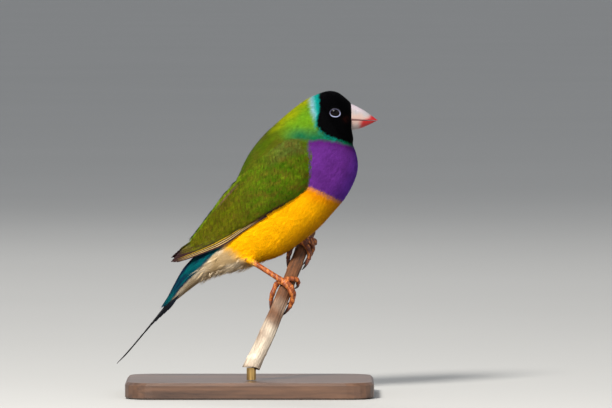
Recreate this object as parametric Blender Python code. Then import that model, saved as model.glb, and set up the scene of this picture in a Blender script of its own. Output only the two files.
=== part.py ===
"""Black-headed gouldian finch, life size, gripping a short cut perch on a plain display stand.

The bird faces +X and its right side faces -Y. The origin is the middle of the underside of the
base. Lengths in this file are millimetres, and build_object turns them into metres.
"""

import math
import random

import bmesh
import bpy
from mathutils import Vector

MM = 0.001
GAP = 0.3  # between neighbouring nodes
SLACK = 0.05  # more gap where faceted faces lie side by side
WELD = 0.002  # points nearer than this are one point

# Body: stations from the foot of the bill to the end of the tail coverts. Each has the upper and
# the lower point of its section, as (x, z), half its width, and how much wider its upper half is.
BODY = (
    ((36.9, 106.1), (36.7, 96.0), 4.5, 0.00),
    ((34.5, 108.4), (37.6, 93.5), 6.2, 0.05),
    ((31.6, 110.3), (37.5, 90.9), 7.2, 0.10),
    ((28.4, 110.7), (38.5, 88.4), 7.8, 0.12),
    ((24.4, 109.5), (39.3, 84.7), 8.3, 0.08),
    ((20.4, 107.6), (39.1, 81.1), 9.4, 0.02),
    ((16.0, 104.5), (37.6, 76.7), 11.2, -0.04),
    ((10.5, 99.8), (34.5, 71.3), 13.0, -0.05),
    ((4.5, 94.2), (30.2, 66.2), 14.0, -0.04),
    ((-0.7, 87.3), (24.7, 60.2), 14.2, -0.02),
    ((-5.1, 78.2), (18.4, 55.3), 13.4, 0.00),
    ((-9.8, 68.9), (11.6, 50.9), 11.8, 0.00),
    ((-13.8, 61.5), (4.4, 48.4), 9.7, 0.00),
    ((-17.5, 54.7), (-3.6, 45.6), 7.6, 0.00),
    ((-20.7, 50.2), (-10.2, 44.4), 6.2, 0.00),
    ((-24.5, 45.8), (-16.0, 42.4), 4.9, 0.00),
    ((-27.5, 40.4), (-21.8, 38.4), 3.7, 0.00),
    ((-30.0, 35.6), (-26.9, 34.4), 2.6, 0.00),
    ((-31.9, 32.7), (-30.7, 32.0), 1.2, 0.00),
)
BODY_SIDES = 26
MASK_STATION = 2.93  # the back edge of the black mask, see mask_edge
NECK_END = 6.4
TORSO_END = 12.9
RUMP_END = 14.2
TAIL_COVERTS_END = 18.0

# Bill
BILL_BASE_X = 37.2
BILL_TIP = (46.5, 99.8)
CULMEN_BASE_Z = 105.7
GONYS_BASE_Z = 96.4
MOUTH_BASE_Z = 100.2
BILL_HALF_WIDTH = 4.3
BILL_BULGE = 0.5  # how far culmen and gonys bow out of a straight line
LOWER_BILL_SHARE = 0.94  # of the length of the upper one
NOSTRIL_AT = (38.9, 3.0, 103.6)
NOSTRIL_RADIUS = 0.5

# Eyes, placed by body station and by the angle from the crown
EYE_STATION, EYE_ANGLE = 3.31, 68.0
EYE_FORWARD = 0.12  # how far it looks forwards from the skin's own direction
EYE_RADIUS = 2.6
LID_RING = 2.08
LID_THICKNESS = 0.36
LID_TO_EYE_CENTRE = 2.0

# Wing: stations from the bend of the wing to its tip, each with its lower and its upper edge as
# (x, z, distance from the middle plane) and how far the wing bows outwards between them.
WING = (
    ((21.8, 75.3, 12.4), (21.5, 92.7, 10.6), 1.0),
    ((16.7, 71.4, 13.2), (13.1, 91.8, 10.6), 1.6),
    ((10.7, 68.0, 13.4), (5.8, 86.5, 9.6), 1.7),
    ((3.6, 63.8, 12.4), (-2.5, 78.9, 5.9), 1.9),
    ((-2.5, 59.6, 10.7), (-8.7, 72.0, 2.2), 1.9),
    ((-8.7, 55.1, 8.6), (-14.5, 63.6, 1.2), 1.7),
    ((-15.3, 52.2, 6.4), (-19.3, 57.5, 1.1), 1.0),
    ((-21.8, 49.6, 4.6), (-24.0, 52.7, 1.3), 0.5),
    ((-27.6, 47.3, 3.4), (-28.7, 49.1, 2.0), 0.1),
)
WING_END = 8.0
WING_CORE = (1.6, 2.4, 2.3, 1.7, 0.8, 0.5)  # thickness of the fleshy part at each station
WING_CORE_END = 4.7
CORE_ROUNDING = 0.35  # how much thinner it is at its edges
WING_BED_HEIGHT = 6.0
VANE_THICKNESS = 0.5
VANE_SEED = 8
VANE_LIFT_VARIES = 0.05  # each way, in mm
VANE_TIP_VARIES = 0.06  # each way, in wing stations
# How wide a vane is at shares of its length, from its root to its tip
VANE_OUTLINE = ((0.0, 0.55), (0.3, 0.9), (0.65, 1.0), (0.9, 0.65), (1.0, 0.2))
VANE_LEAN = 0.35  # how far its tip leans from the lower edge towards the upper one

# Feathers of a wing, from its lower to its upper edge. In each tier they overlap like tiles, with
# the lower edge of each lying over the feather below it. Tips are in wing stations.
PRIMARY_TIPS = (7.7, 8.0, 7.8, 7.45, 7.05, 6.7)
SECONDARY_TIPS = (6.4, 6.3, 6.3)
TERTIAL_TIPS = (6.5, 6.0, 5.5)
FLIGHT_ROOT = 2.3
FLIGHT_START = 0.01  # where the lowest of them begins, in shares of the wing's width
FLIGHT_PITCH = 0.073  # of the wing's width
SECONDARY_SPREAD = 0.082  # the same towards the tips of secondaries and tertials
PRIMARY_SPREAD = 0.155  # the same at the tip of the wing
SPREAD_FROM = (4.5, 5.0)  # where along the wing the spread of each begins
FLIGHT_OVERLAP = 1.66  # width of a vane in pitches
FLIGHT_HEIGHTS = (0.08, 1.38)  # of the covered and of the open edge
TIP_THINNING = 0.45  # how much lower the open edges lie at the tip of the wing
GREATER_COVERTS = (8, 2.2, 4.2, 1.7, 2.15)  # how many, root, tip, heights at root and at tip
MEDIAN_COVERTS = (6, 1.3, 2.95, 1.8, 2.45)
COVERT_SPAN = (0.02, 0.86)
COVERT_OVERLAP = 1.35  # width of a covert in pitches
COVERT_TILT = 0.35  # its covered edge lies this much lower
FAR_WING_RAISE = 1.3  # the left wing's tip lies this much higher

# Tail: the line of the shafts of the tail feathers, as (x, z)
TAIL_LINE = (
    (-20.0, 45.2),
    (-25.6, 38.6),
    (-31.2, 31.6),
    (-37.6, 23.6),
    (-43.6, 16.4),
    (-48.2, 11.3),
)
TAIL_PAIRS = 6
TAIL_ROOT = 0.45
TAIL_TIPS = (5.0, 2.75, 2.55, 2.35, 2.15, 1.95)  # on the tail line, from the middle pair outwards
TAIL_LEVEL = 0.32  # each pair lies this much lower than the one inside it
TAIL_EDGE = (2.5, 0.36)  # outer edge of the middle pair, and the step to the next pair
TAIL_VANE_WIDTH = 2.35
TAIL_SLIT = 0.15  # from the middle plane to the nearest vane
FILAMENT_WIDTH = 0.55
FILAMENT_START = 2.5  # on the tail line, where the vane has narrowed by half
FILAMENT_TURN = 3.2  # how sharply it narrows there
TAIL_DROOP = 0.25  # fall of the outer edge of a vane in shares of its width

# Perch: points of its middle line and the radius there, from the cut foot upwards
PERCH = (
    ((0.6, -14.5, 11.0), 3.1),
    ((6.2, -12.2, 22.5), 2.9),
    ((12.7, -7.6, 38.0), 2.5),
    ((16.2, -0.2, 46.2), 2.45),
    ((19.3, 7.8, 53.8), 2.45),
    ((21.6, 13.4, 59.2), 2.4),
)
PERCH_SIDES = 12
PERCH_KNOT = 0.12  # how far the perch swells at its knots
PERCH_UNEVEN = 0.02  # of its radius
NEAR_FOOT, FAR_FOOT = 2.18, 3.93  # where the feet grip, in points of PERCH

# Legs and feet
LEG_RADIUS = (1.15, 0.95, 1.1)
NEAR_HEEL = (-3.1, -7.3, 51.3)
FAR_HEEL = (9.2, 7.4, 62.0)
PAD_RADIUS = 1.35
PAD_UP, PAD_ANGLE = -0.9, -24.0
TOE_RADIUS = (1.05, 0.8)
CLAW_RADIUS = (0.62, 0.18)
TOE_SIDES = 6
TOE_REST = 0.12  # more than the gap between a toe and the bark
PAD_SWELL = 0.07  # of the toe's radius
TOE_STEPS = 8

# Toes of the near and the far foot: the way round the perch from the pad to the claw, each place
# as mm up the perch from the foot and degrees from the near side towards the right.
TOES = {
    "right": {
        "hallux": ((-0.8, -40), (-1.6, -78), (-4.4, -98), (-6.4, -122)),
        "inner": ((0.3, -12), (1.2, 10), (2.2, 38), (2.3, 72)),
        "middle": ((-0.9, -8), (-1.6, 24), (-2.6, 58), (-3.6, 90)),
        "outer": ((-1.6, -8), (-2.8, 32), (-4.6, 78), (-6.4, 106)),
    },
    "left": {
        "hallux": ((-0.8, -40), (-1.6, -78), (-4.2, -96), (-6.0, -118)),
        "inner": ((-1.0, -8), (-2.0, 24), (-3.2, 56), (-4.6, 84)),
        "middle": ((0.2, 0), (0.9, 36), (0.2, 74), (-1.8, 100)),
        "outer": ((1.0, -4), (2.6, 26), (3.8, 58), (4.2, 88)),
    },
}
CLAW_LENGTH = 3.4
CLAW_CLOSING = 0.15  # how much nearer to the bark the claw's point lies

# Stand
BASE_SIZE = (90.0, 64.0, 6.0)
BASE_CORNER = 10.0
BASE_EDGE = 1.0
ROD_RADIUS = 1.7
ROD_SIDES = 20

BEND = 0.02  # a small step along a curve, for its direction


def curve(points, s):
    """A smooth curve through the points, at the place s counted in points."""
    last = len(points) - 1
    i = min(max(int(math.floor(s)), 0), last - 1)
    t = s - i
    b, c = Vector(points[i]), Vector(points[i + 1])
    a = Vector(points[i - 1]) if i > 0 else 2 * b - c
    d = Vector(points[i + 2]) if i + 2 <= last else 2 * c - b
    linear = (c - a) * t
    square = (2 * a - 5 * b + 4 * c - d) * t * t
    cube = (3 * b - a - 3 * c + d) * t * t * t
    return 0.5 * (2 * b + linear + square + cube)


def level(values, s):
    """A smooth value through single numbers, at the place s counted in numbers."""
    return curve([(value, 0.0) for value in values], s).x


def steps(start, end, count):
    return [start + (end - start) * i / (count - 1) for i in range(count)]


def body_section(s):
    flat = [upper + lower + (half_width, egg) for upper, lower, half_width, egg in BODY]
    ux, uz, lx, lz, half_width, egg = curve(flat, s)
    return Vector((ux, 0, uz)), Vector((lx, 0, lz)), half_width, egg


def body_point(s, angle, lift=0.0):
    """A point of the body's skin at station s. The angle runs from 0 on the back, over 90 on the
    right side, to 180 under the belly, and on up the left side."""
    upper, lower, half_width, egg = body_section(s)
    middle = (upper + lower) / 2
    half_depth = (upper - lower) / 2
    cosine, sine = math.cos(math.radians(angle)), math.sin(math.radians(angle))
    out = half_depth.normalized() * cosine * half_width + Vector((0, -1, 0)) * sine * half_depth.length
    across = half_width * sine * (1 + egg * cosine)
    return middle + half_depth * cosine + Vector((0, -across, 0)) + out.normalized() * lift


def mask_edge(angle):
    """The station where the black mask of the head ends."""
    cosine, sine = math.cos(math.radians(angle)), math.sin(math.radians(angle))
    return MASK_STATION + 0.83 * cosine + 2.1 * sine * sine * (1 + 0.25 * cosine)


def neck_edge(angle):
    return NECK_END


def wing_point(a, b, h, side):
    """A point of the wing: a runs from its bend to its tip, b from its lower to its upper edge,
    and h is the height over its inner face. side is 1 for the right wing and -1 for the left."""

    def on_face(u, v):
        flat = [lower + upper + (bow,) for lower, upper, bow in WING]
        lx, lz, ly, ux, uz, uy, bow = curve(flat, u)
        raise_tip = FAR_WING_RAISE * (u / WING_END) ** 3 if side < 0 else 0.0
        out = ly + (uy - ly) * v + 4 * bow * v * (1 - v)
        return Vector((lx + (ux - lx) * v, -out, lz + (uz - lz) * v + raise_tip))

    along = on_face(a + BEND, b) - on_face(a - BEND, b)
    across = on_face(a, b + BEND) - on_face(a, b - BEND)
    normal = across.cross(along).normalized()
    point = on_face(a, b) + normal * h
    return Vector((point.x, point.y * side, point.z))


def perch_frame(t):
    """Middle, axis, the direction towards the near side and the one to the right of it, radius."""
    points = [place for place, _ in PERCH]
    radii = [radius for _, radius in PERCH]
    axis = (curve(points, t + BEND) - curve(points, t - BEND)).normalized()
    near = Vector((0, -1, 0))
    near = (near - axis * near.dot(axis)).normalized()
    right = axis.cross(near).normalized()
    if right.x < 0:
        right = -right
    return curve(points, t), axis, near, right, level(radii, t)


def on_perch(foot, up, angle, height):
    """A point round the perch: up in mm along it from the foot, the angle from the near side
    towards the right, and the height over the bark."""
    points = [place for place, _ in PERCH]
    t = foot + up / (curve(points, foot + 0.5) - curve(points, foot - 0.5)).length
    middle, _, near, right, radius = perch_frame(t)
    turn = math.radians(angle)
    return middle + (near * math.cos(turn) + right * math.sin(turn)) * (radius + height)


def loft(rings, start=None, end=None):
    """Closed skin over rings of points, each end closed by a fan round its middle point."""
    size = len(rings[0])
    points = [point for ring in rings for point in ring]
    faces = []
    for r in range(len(rings) - 1):
        for i in range(size):
            a, b = r * size + i, r * size + (i + 1) % size
            faces.append((a, b, b + size))
            faces.append((a, b + size, a + size))
    for ring_number, middle, flip in ((0, start, True), (len(rings) - 1, end, False)):
        ring = rings[ring_number]
        points.append(middle or sum(ring, Vector()) / size)
        centre = len(points) - 1
        for i in range(size):
            a, b = ring_number * size + i, ring_number * size + (i + 1) % size
            faces.append((b, a, centre) if flip else (a, b, centre))
    return points, faces


def plate(top, bottom):
    """A closed thin plate between two grids of points, split into triangles alike on both."""
    rows, columns = len(top), len(top[0])
    points = [point for row in top for point in row] + [point for row in bottom for point in row]
    under = rows * columns
    faces = []
    for r in range(rows - 1):
        for c in range(columns - 1):
            a, b = r * columns + c, r * columns + c + 1
            d, e = a + columns, b + columns
            faces += [(a, b, e), (a, e, d)]
            faces += [(under + a, under + e, under + b), (under + a, under + d, under + e)]
    rim = [r * columns for r in range(rows)]
    rim += [(rows - 1) * columns + c for c in range(1, columns)]
    rim += [r * columns + columns - 1 for r in range(rows - 2, -1, -1)]
    rim += list(range(columns - 2, 0, -1))
    for i, a in enumerate(rim):
        b = rim[(i + 1) % len(rim)]
        faces += [(a, b, under + b), (a, under + b, under + a)]
    return points, faces


def ring_round(middle, axis, radii, sides, turn=None):
    """A ring of points round an axis. turn is the direction of the first of its two radii."""
    turn = turn or Vector((0, 1, 0))
    first = (turn - axis * turn.dot(axis)).normalized()
    second = axis.cross(first).normalized()
    wide, high = radii
    angles = [2 * math.pi * i / sides for i in range(sides)]
    return [middle + first * (math.cos(w) * wide) + second * (math.sin(w) * high) for w in angles]


def tube(points, radii, sides, turn=None, round_ends=True):
    """A tube along the points, with its radius at each point."""
    rings = []
    last = len(points) - 1
    for i, point in enumerate(points):
        axis = (points[min(i + 1, last)] - points[max(i - 1, 0)]).normalized()
        rings.append(ring_round(point, axis, (radii[i], radii[i]), sides, turn))
    start, end = points[0], points[last]
    if round_ends:
        start = start - (points[1] - points[0]).normalized() * radii[0] * 0.6
        end = end + (points[last] - points[last - 1]).normalized() * radii[last] * 0.6
    return loft(rings, start, end)


def material(name, colour, roughness, metallic=0.0):
    made = bpy.data.materials.new(name)
    made.use_nodes = True
    shader = made.node_tree.nodes["Principled BSDF"]
    shader.inputs["Base Color"].default_value = (*colour, 1.0)
    shader.inputs["Roughness"].default_value = roughness
    shader.inputs["Metallic"].default_value = metallic
    made.diffuse_color = (*colour, 1.0)
    return made


def build_object(name, shape, look, origin, parent=None):
    """An object from points in mm, with its own origin at a place that the piece hangs on."""
    points, faces = shape
    origin = Vector(origin)
    mesh = bpy.data.meshes.new(name)
    mesh.from_pydata([(point - origin) * MM for point in points], [], faces)
    mesh.validate()
    made = bpy.data.objects.new(name, mesh)
    bpy.context.collection.objects.link(made)
    made.location = origin * MM
    if look:
        mesh.materials.append(look)
    if parent:
        made.parent = parent
    face_outwards(made)
    return made


def face_outwards(made):
    sheet = bmesh.new()
    sheet.from_mesh(made.data)
    bmesh.ops.recalc_face_normals(sheet, faces=sheet.faces)
    sheet.to_mesh(made.data)
    sheet.free()


def smooth(made, angle=40.0):
    made.data.shade_smooth()
    made.data.set_sharp_from_angle(angle=math.radians(angle))


def combine(target, pieces, operation):
    """Join pieces to the target, or cut them out of it, in one Boolean, and remove the pieces."""
    group = bpy.data.collections.new(target.name + "_pieces")
    for piece in pieces:
        group.objects.link(piece)
    change = target.modifiers.new(operation.lower(), "BOOLEAN")
    change.operation = operation
    change.operand_type = "COLLECTION"
    change.collection = group
    change.solver = "EXACT"
    change.use_self = operation == "UNION"
    bpy.context.view_layer.update()
    bpy.context.view_layer.objects.active = target
    bpy.ops.object.modifier_apply(modifier=change.name)
    for piece in pieces:
        bpy.data.objects.remove(piece)
    bpy.data.collections.remove(group)
    keep_largest(target)


def keep_largest(target):
    """Clean the mesh and keep only its largest closed surface."""
    sheet = bmesh.new()
    sheet.from_mesh(target.data)
    bmesh.ops.remove_doubles(sheet, verts=sheet.verts, dist=WELD * MM)
    bmesh.ops.dissolve_degenerate(sheet, edges=sheet.edges, dist=WELD * MM)
    bmesh.ops.triangulate(sheet, faces=sheet.faces)
    unseen = set(sheet.faces)
    best, best_volume = set(), -1.0
    while unseen:
        island, front = set(), [unseen.pop()]
        while front:
            face = front.pop()
            island.add(face)
            for edge in face.edges:
                for neighbour in edge.link_faces:
                    if neighbour in unseen:
                        unseen.discard(neighbour)
                        front.append(neighbour)
        corners = [[corner.co for corner in face.verts] for face in island]
        volume = abs(sum(a.dot(b.cross(c)) for a, b, c in corners)) / 6
        if volume > best_volume:
            best, best_volume = island, volume
    scraps = [face for face in sheet.faces if face not in best]
    bmesh.ops.delete(sheet, geom=scraps, context="FACES")
    loose = [corner for corner in sheet.verts if not corner.link_faces]
    bmesh.ops.delete(sheet, geom=loose, context="VERTS")
    bmesh.ops.recalc_face_normals(sheet, faces=sheet.faces)
    sheet.to_mesh(target.data)
    sheet.free()


def body_span(start_edge, end_edge, ring_count):
    """A length of the body between two edges, each a station for every angle round the body.
    The ends stand half a gap back, so that neighbouring lengths leave the whole gap."""
    angles = [360.0 * i / BODY_SIDES for i in range(BODY_SIDES)]
    rings = []
    for share in steps(0.0, 1.0, ring_count):
        stations = [start_edge(w) + (end_edge(w) - start_edge(w)) * share for w in angles]
        rings.append([body_point(s, w) for s, w in zip(stations, angles)])
    ends = []
    for edge, ring, way in ((start_edge, rings[0], 1), (end_edge, rings[-1], -1)):
        station = (edge(90.0) + edge(0.0) + edge(180.0)) / 3
        upper, lower, _, _ = body_section(edge(90.0))
        back = (upper - lower).cross(Vector((0, 1, 0))).normalized()
        ahead = body_section(station + 0.1)[0] - body_section(station)[0]
        if back.dot(ahead) < 0:
            back = -back
        shift = back * way * (GAP / 2 + SLACK / 2)
        for i, point in enumerate(ring):
            ring[i] = point + shift
        ends.append((upper + lower) / 2 + shift)
    return loft(rings, *ends)


def bill_line(share):
    """Height of culmen, mouth and gonys, and half the width, at a share of the bill's length."""
    bow = 4 * share * (1 - share) * BILL_BULGE
    tip_z = BILL_TIP[1]
    culmen = CULMEN_BASE_Z + (tip_z - CULMEN_BASE_Z) * share + bow
    gonys = GONYS_BASE_Z + (tip_z - GONYS_BASE_Z) * share - bow
    mouth = MOUTH_BASE_Z + (tip_z - MOUTH_BASE_Z) * share
    return culmen, mouth, gonys, BILL_HALF_WIDTH * (1 - share) ** 0.8


def bill_half(upper):
    """One half of the bill: a rounded cone with a flat face along the line of the mouth."""
    length = BILL_TIP[0] - BILL_BASE_X
    reach = 1.0 if upper else LOWER_BILL_SHARE
    arc = steps(-90.0, 90.0, 11)
    rings = []
    for share in steps(0.0, 0.985, 10):
        culmen, mouth, gonys, half_width = bill_line(share)
        x = BILL_BASE_X + length * reach * share
        edge = mouth + (GAP / 2 if upper else -GAP / 2)
        height = max(culmen - edge, 0.3) if upper else min(gonys - edge, -0.3)
        width = half_width if upper else half_width * 0.93
        width = max(width, 0.25)
        ring = [
            Vector((x, width * math.sin(math.radians(w)), edge + height * math.cos(math.radians(w))))
            for w in arc
        ]
        rings.append(ring)
    return loft(rings)


def eye_place(side):
    """Middle of an eyeball and the direction that the eye looks."""
    angle = EYE_ANGLE * side
    surface = body_point(EYE_STATION, angle)
    outwards = (body_point(EYE_STATION, angle, 1.0) - surface).normalized()
    outwards = (outwards + Vector((EYE_FORWARD, 0, 0))).normalized()
    return surface - outwards * LID_TO_EYE_CENTRE, outwards


def ball(middle, radius, axis, segments=14, rings=8):
    turned = axis.to_track_quat("Z", "Y").to_matrix()
    stack = []
    for polar in steps(180.0 / rings, 180.0 - 180.0 / rings, rings - 1):
        high, wide = math.cos(math.radians(polar)) * radius, math.sin(math.radians(polar)) * radius
        angles = [2 * math.pi * i / segments for i in range(segments)]
        stack.append(
            [middle + turned @ Vector((math.cos(w) * wide, math.sin(w) * wide, high)) for w in angles]
        )
    pole = turned @ Vector((0, 0, radius))
    return loft(stack, middle + pole, middle - pole)


def lid_ring(side):
    """The bare ring of the lids round one eye."""
    middle, outwards = eye_place(side)
    centre = middle + outwards * LID_TO_EYE_CENTRE
    turned = outwards.to_track_quat("Z", "Y").to_matrix()
    segments, sides = 16, 6
    points, faces = [], []
    for i in range(segments):
        turn = 2 * math.pi * i / segments
        for j in range(sides):
            roll = 2 * math.pi * j / sides
            reach = LID_RING + LID_THICKNESS * math.cos(roll)
            local = Vector((math.cos(turn) * reach, math.sin(turn) * reach, LID_THICKNESS * math.sin(roll)))
            points.append(centre + turned @ local)
            k = (j + 1) % sides
            n = (i + 1) % segments
            faces.append((i * sides + j, n * sides + j, n * sides + k))
            faces.append((i * sides + j, n * sides + k, i * sides + k))
    return points, faces


def wing_plate(side, low, high, thickness, first, last, rows, columns):
    """A closed plate that follows the wing, between two shares of its width. thickness gives, for
    a place along the wing, the heights of its inner and outer face."""
    across = steps(low, high, columns)
    top, bottom = [], []
    for a in steps(first, last, rows):
        inner, outer = thickness(a)
        top.append([wing_point(a, b, outer * (1 - CORE_ROUNDING * (2 * b - 1) ** 2), side) for b in across])
        bottom.append([wing_point(a, b, inner, side) for b in across])
    return plate(top, bottom)


def wing_vane(side, root, tip, low_edge, width, heights, chance):
    """A feather of the wing: low_edge and width, in shares of the wing's width, and the heights of
    its covered and its open edge are functions of the place along the wing."""
    lift = chance.uniform(-VANE_LIFT_VARIES, VANE_LIFT_VARIES)
    tip += chance.uniform(-VANE_TIP_VARIES, 0.0)
    top, bottom = [], []
    for share, narrow in VANE_OUTLINE:
        a = root + (tip - root) * share
        covered, opened = heights(a)
        low = low_edge(a) + width(a) * VANE_LEAN * (1 - narrow)
        high = min(low + width(a) * narrow, 1.0)
        row = ((low, opened + lift), (high, covered + lift / 2))
        top.append([wing_point(a, b, h + VANE_THICKNESS, side) for b, h in row])
        bottom.append([wing_point(a, b, h, side) for b, h in row])
    return plate(top, bottom)


def flight_vanes(side, chance):
    """Primaries, secondaries and tertials, laid like tiles from the lower edge upwards."""
    vanes = []
    for i, tip in enumerate(PRIMARY_TIPS + SECONDARY_TIPS + TERTIAL_TIPS):
        primary = i < len(PRIMARY_TIPS)

        def pitch(a, primary=primary):
            start, end = (SPREAD_FROM[1], WING_END) if primary else (SPREAD_FROM[0], SPREAD_FROM[0] + 1)
            share = min(max((a - start) / (end - start), 0.0), 1.0)
            spread = PRIMARY_SPREAD if primary else SECONDARY_SPREAD
            return FLIGHT_PITCH + (spread - FLIGHT_PITCH) * share

        def low_edge(a, i=i, pitch=pitch):
            return FLIGHT_START + i * pitch(a)

        def width(a, pitch=pitch):
            return pitch(a) * FLIGHT_OVERLAP

        def heights(a):
            thin = 1.0 - TIP_THINNING * min(max((a - SPREAD_FROM[1]) / (WING_END - SPREAD_FROM[1]), 0.0), 1.0)
            return FLIGHT_HEIGHTS[0], FLIGHT_HEIGHTS[1] * thin

        vanes.append(wing_vane(side, FLIGHT_ROOT, tip, low_edge, width, heights, chance))
    return vanes


def covert_vanes(side, tier, chance):
    """One tier of coverts, laid like tiles over the roots of the feathers behind them."""
    count, root, tip, root_height, tip_height = tier
    pitch = (COVERT_SPAN[1] - COVERT_SPAN[0]) / count
    vanes = []
    for i in range(count):
        middle = (i + 0.5) / count
        end = tip + 0.28 * math.sin(math.pi * middle) - 0.35 * middle

        def low_edge(a, i=i):
            return COVERT_SPAN[0] + i * pitch

        def heights(a, end=end):
            share = (a - root) / (end - root)
            height = root_height + (tip_height - root_height) * min(share * 1.6, 1.0)
            return height - COVERT_TILT, height

        vanes.append(wing_vane(side, root, end, low_edge, lambda a: pitch * COVERT_OVERLAP, heights, chance))
    return vanes


def tail_frame(t):
    ahead = curve(TAIL_LINE, t + BEND) - curve(TAIL_LINE, t - BEND)
    along = Vector((ahead.x, 0, ahead.y)).normalized()
    place = curve(TAIL_LINE, t)
    return Vector((place.x, 0, place.y)), along, Vector((along.z, 0, -along.x))


def make_head(parent, looks):
    head = build_object(
        "head",
        body_span(lambda angle: 0.0, mask_edge, 11),
        looks["black"],
        body_point(3.0, 0.0),
        parent,
    )
    eyes = []
    lids, sockets = [], []
    for side, name in ((1, "eye_right"), (-1, "eye_left")):
        middle, outwards = eye_place(side)
        lids.append(build_object(name + "_lid", lid_ring(side), looks["lid"], middle))
        socket = ball(middle, EYE_RADIUS + GAP, outwards, 18, 10)
        sockets.append(build_object(name + "_socket", socket, looks["lid"], middle))
        eye = build_object(name, ball(middle, EYE_RADIUS, outwards), looks["eye"], middle, parent)
        eyes.append(eye)
    combine(head, lids, "UNION")
    combine(head, sockets, "DIFFERENCE")
    for made in [head, *eyes]:
        smooth(made)


def make_bill(parent, looks):
    base = (BILL_BASE_X, 0.0, MOUTH_BASE_Z)
    upper = build_object("bill_upper", bill_half(True), looks["bill"], base, parent)
    lower = build_object("bill_lower", bill_half(False), looks["bill"], base, parent)
    nostrils = []
    x, y, z = NOSTRIL_AT
    for side in (1, -1):
        place = Vector((x, -y * side, z))
        shape = ball(place, NOSTRIL_RADIUS, Vector((0, -side, 0)), 10, 6)
        nostrils.append(build_object("nostril", shape, looks["bill"], place))
    combine(upper, nostrils, "DIFFERENCE")
    smooth(upper, 50)
    smooth(lower, 50)


def wing_bed(side):
    """The room that a wing takes out of the body."""
    top, bottom = [], []
    for a in steps(-0.05, WING_END + 0.1, 13):
        wide = (wing_point(a, 1.0, 0.0, side) - wing_point(a, 0.0, 0.0, side)).length
        margin = (GAP + SLACK) / wide
        across = steps(-margin, 1.0 + margin, 7)
        top.append([wing_point(a, b, WING_BED_HEIGHT, side) for b in across])
        bottom.append([wing_point(a, b, -GAP, side) for b in across])
    return plate(top, bottom)


def make_body(parent, looks):
    neck = build_object(
        "neck", body_span(mask_edge, neck_edge, 6), looks["nape"], body_point(5.0, 0.0), parent
    )
    torso = build_object(
        "torso",
        body_span(neck_edge, lambda angle: TORSO_END, 13),
        looks["belly"],
        body_point(9.0, 0.0),
        parent,
    )
    rump = build_object(
        "rump",
        body_span(lambda angle: TORSO_END, lambda angle: RUMP_END, 5),
        looks["rump"],
        body_point(TORSO_END, 0.0),
        parent,
    )
    for made in (neck, torso, rump):
        beds = [
            build_object("wing_bed", wing_bed(side), looks["belly"], (0, 0, 0)) for side in (1, -1)
        ]
        combine(made, beds, "DIFFERENCE")
    sockets = []
    for side_name, foot, heel in (("right", NEAR_FOOT, NEAR_HEEL), ("left", FAR_FOOT, FAR_HEEL)):
        radii = [radius + GAP + SLACK for radius in leg_radii()]
        shape = tube(leg_line(foot, heel), radii, 12)
        sockets.append(build_object("leg_socket", shape, looks["belly"], heel))
        sockets.extend(foot_rooms(side_name, foot, GAP + SLACK, looks["belly"]))
    combine(torso, sockets, "DIFFERENCE")
    for made in (neck, torso, rump):
        smooth(made)


def make_wing(side, parent, looks):
    name = "wing_right" if side > 0 else "wing_left"
    core = wing_plate(side, 0.0, 1.0, lambda a: (0.0, level(WING_CORE, a)), 0.0, WING_CORE_END, 10, 7)
    origin = wing_point(0.0, 0.5, 0.0, side)
    wing = build_object(name, core, looks["wing"], origin, parent)
    chance = random.Random(VANE_SEED)
    shapes = flight_vanes(side, chance)
    for tier in (GREATER_COVERTS, MEDIAN_COVERTS):
        shapes += covert_vanes(side, tier, chance)
    vanes = [build_object("vane", shape, looks["wing"], origin) for shape in shapes]
    combine(wing, vanes, "UNION")
    smooth(wing, 30)


def tail_vane(pair, side):
    """One tail feather. The middle pair lies on top and runs out into long filaments."""
    tip = TAIL_TIPS[pair]
    outer = TAIL_EDGE[0] + TAIL_EDGE[1] * pair
    inner = max(outer - TAIL_VANE_WIDTH, TAIL_SLIT)
    rows = 9 if pair == 0 else 6
    top, bottom = [], []
    for share in steps(0.0, 1.0, rows):
        t = TAIL_ROOT + (tip - TAIL_ROOT) * share
        if pair == 0:
            narrow = 1 / (1 + math.exp((t - FILAMENT_START) * FILAMENT_TURN))
            low = inner
            high = inner + FILAMENT_WIDTH * (1 - 0.4 * share) + (outer - inner - FILAMENT_WIDTH) * narrow
        else:
            narrow = (1 - max(share - 0.55, 0.0) / 0.45 * 0.85) * (0.7 + 0.3 * min(share * 3, 1.0))
            low = inner + (outer - inner) * 0.3 * (1 - narrow)
            high = low + (outer - inner) * narrow
        middle, _, up = tail_frame(t)
        height = -TAIL_LEVEL * pair
        across = [Vector((0, -side * y, 0)) for y in (low, high)]
        droop = (0.0, -TAIL_DROOP * (high - low))
        top.append([middle + y + up * (height + d + VANE_THICKNESS) for y, d in zip(across, droop)])
        bottom.append([middle + y + up * (height + d) for y, d in zip(across, droop)])
    return plate(top, bottom)


def make_tail(parent, looks):
    coverts = body_span(lambda angle: RUMP_END, lambda angle: TAIL_COVERTS_END, 10)
    origin = body_point(RUMP_END, 0.0)
    tail = build_object("tail", coverts, looks["tail"], origin, parent)
    vanes = []
    for pair in range(TAIL_PAIRS):
        for side in (1, -1):
            vanes.append(build_object("vane", tail_vane(pair, side), looks["tail"], origin))
    combine(tail, vanes, "UNION")
    smooth(tail, 30)


def knuckle_place(foot):
    return on_perch(foot, PAD_UP, PAD_ANGLE, PAD_RADIUS + GAP)


def leg_line(foot, heel):
    knuckle, heel = knuckle_place(foot), Vector(heel)
    return [heel.lerp(knuckle, share) for share in steps(0.0, 0.95, 6)]


def leg_radii():
    return [level(LEG_RADIUS, s) for s in steps(0.0, 2.0, 6)]


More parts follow.
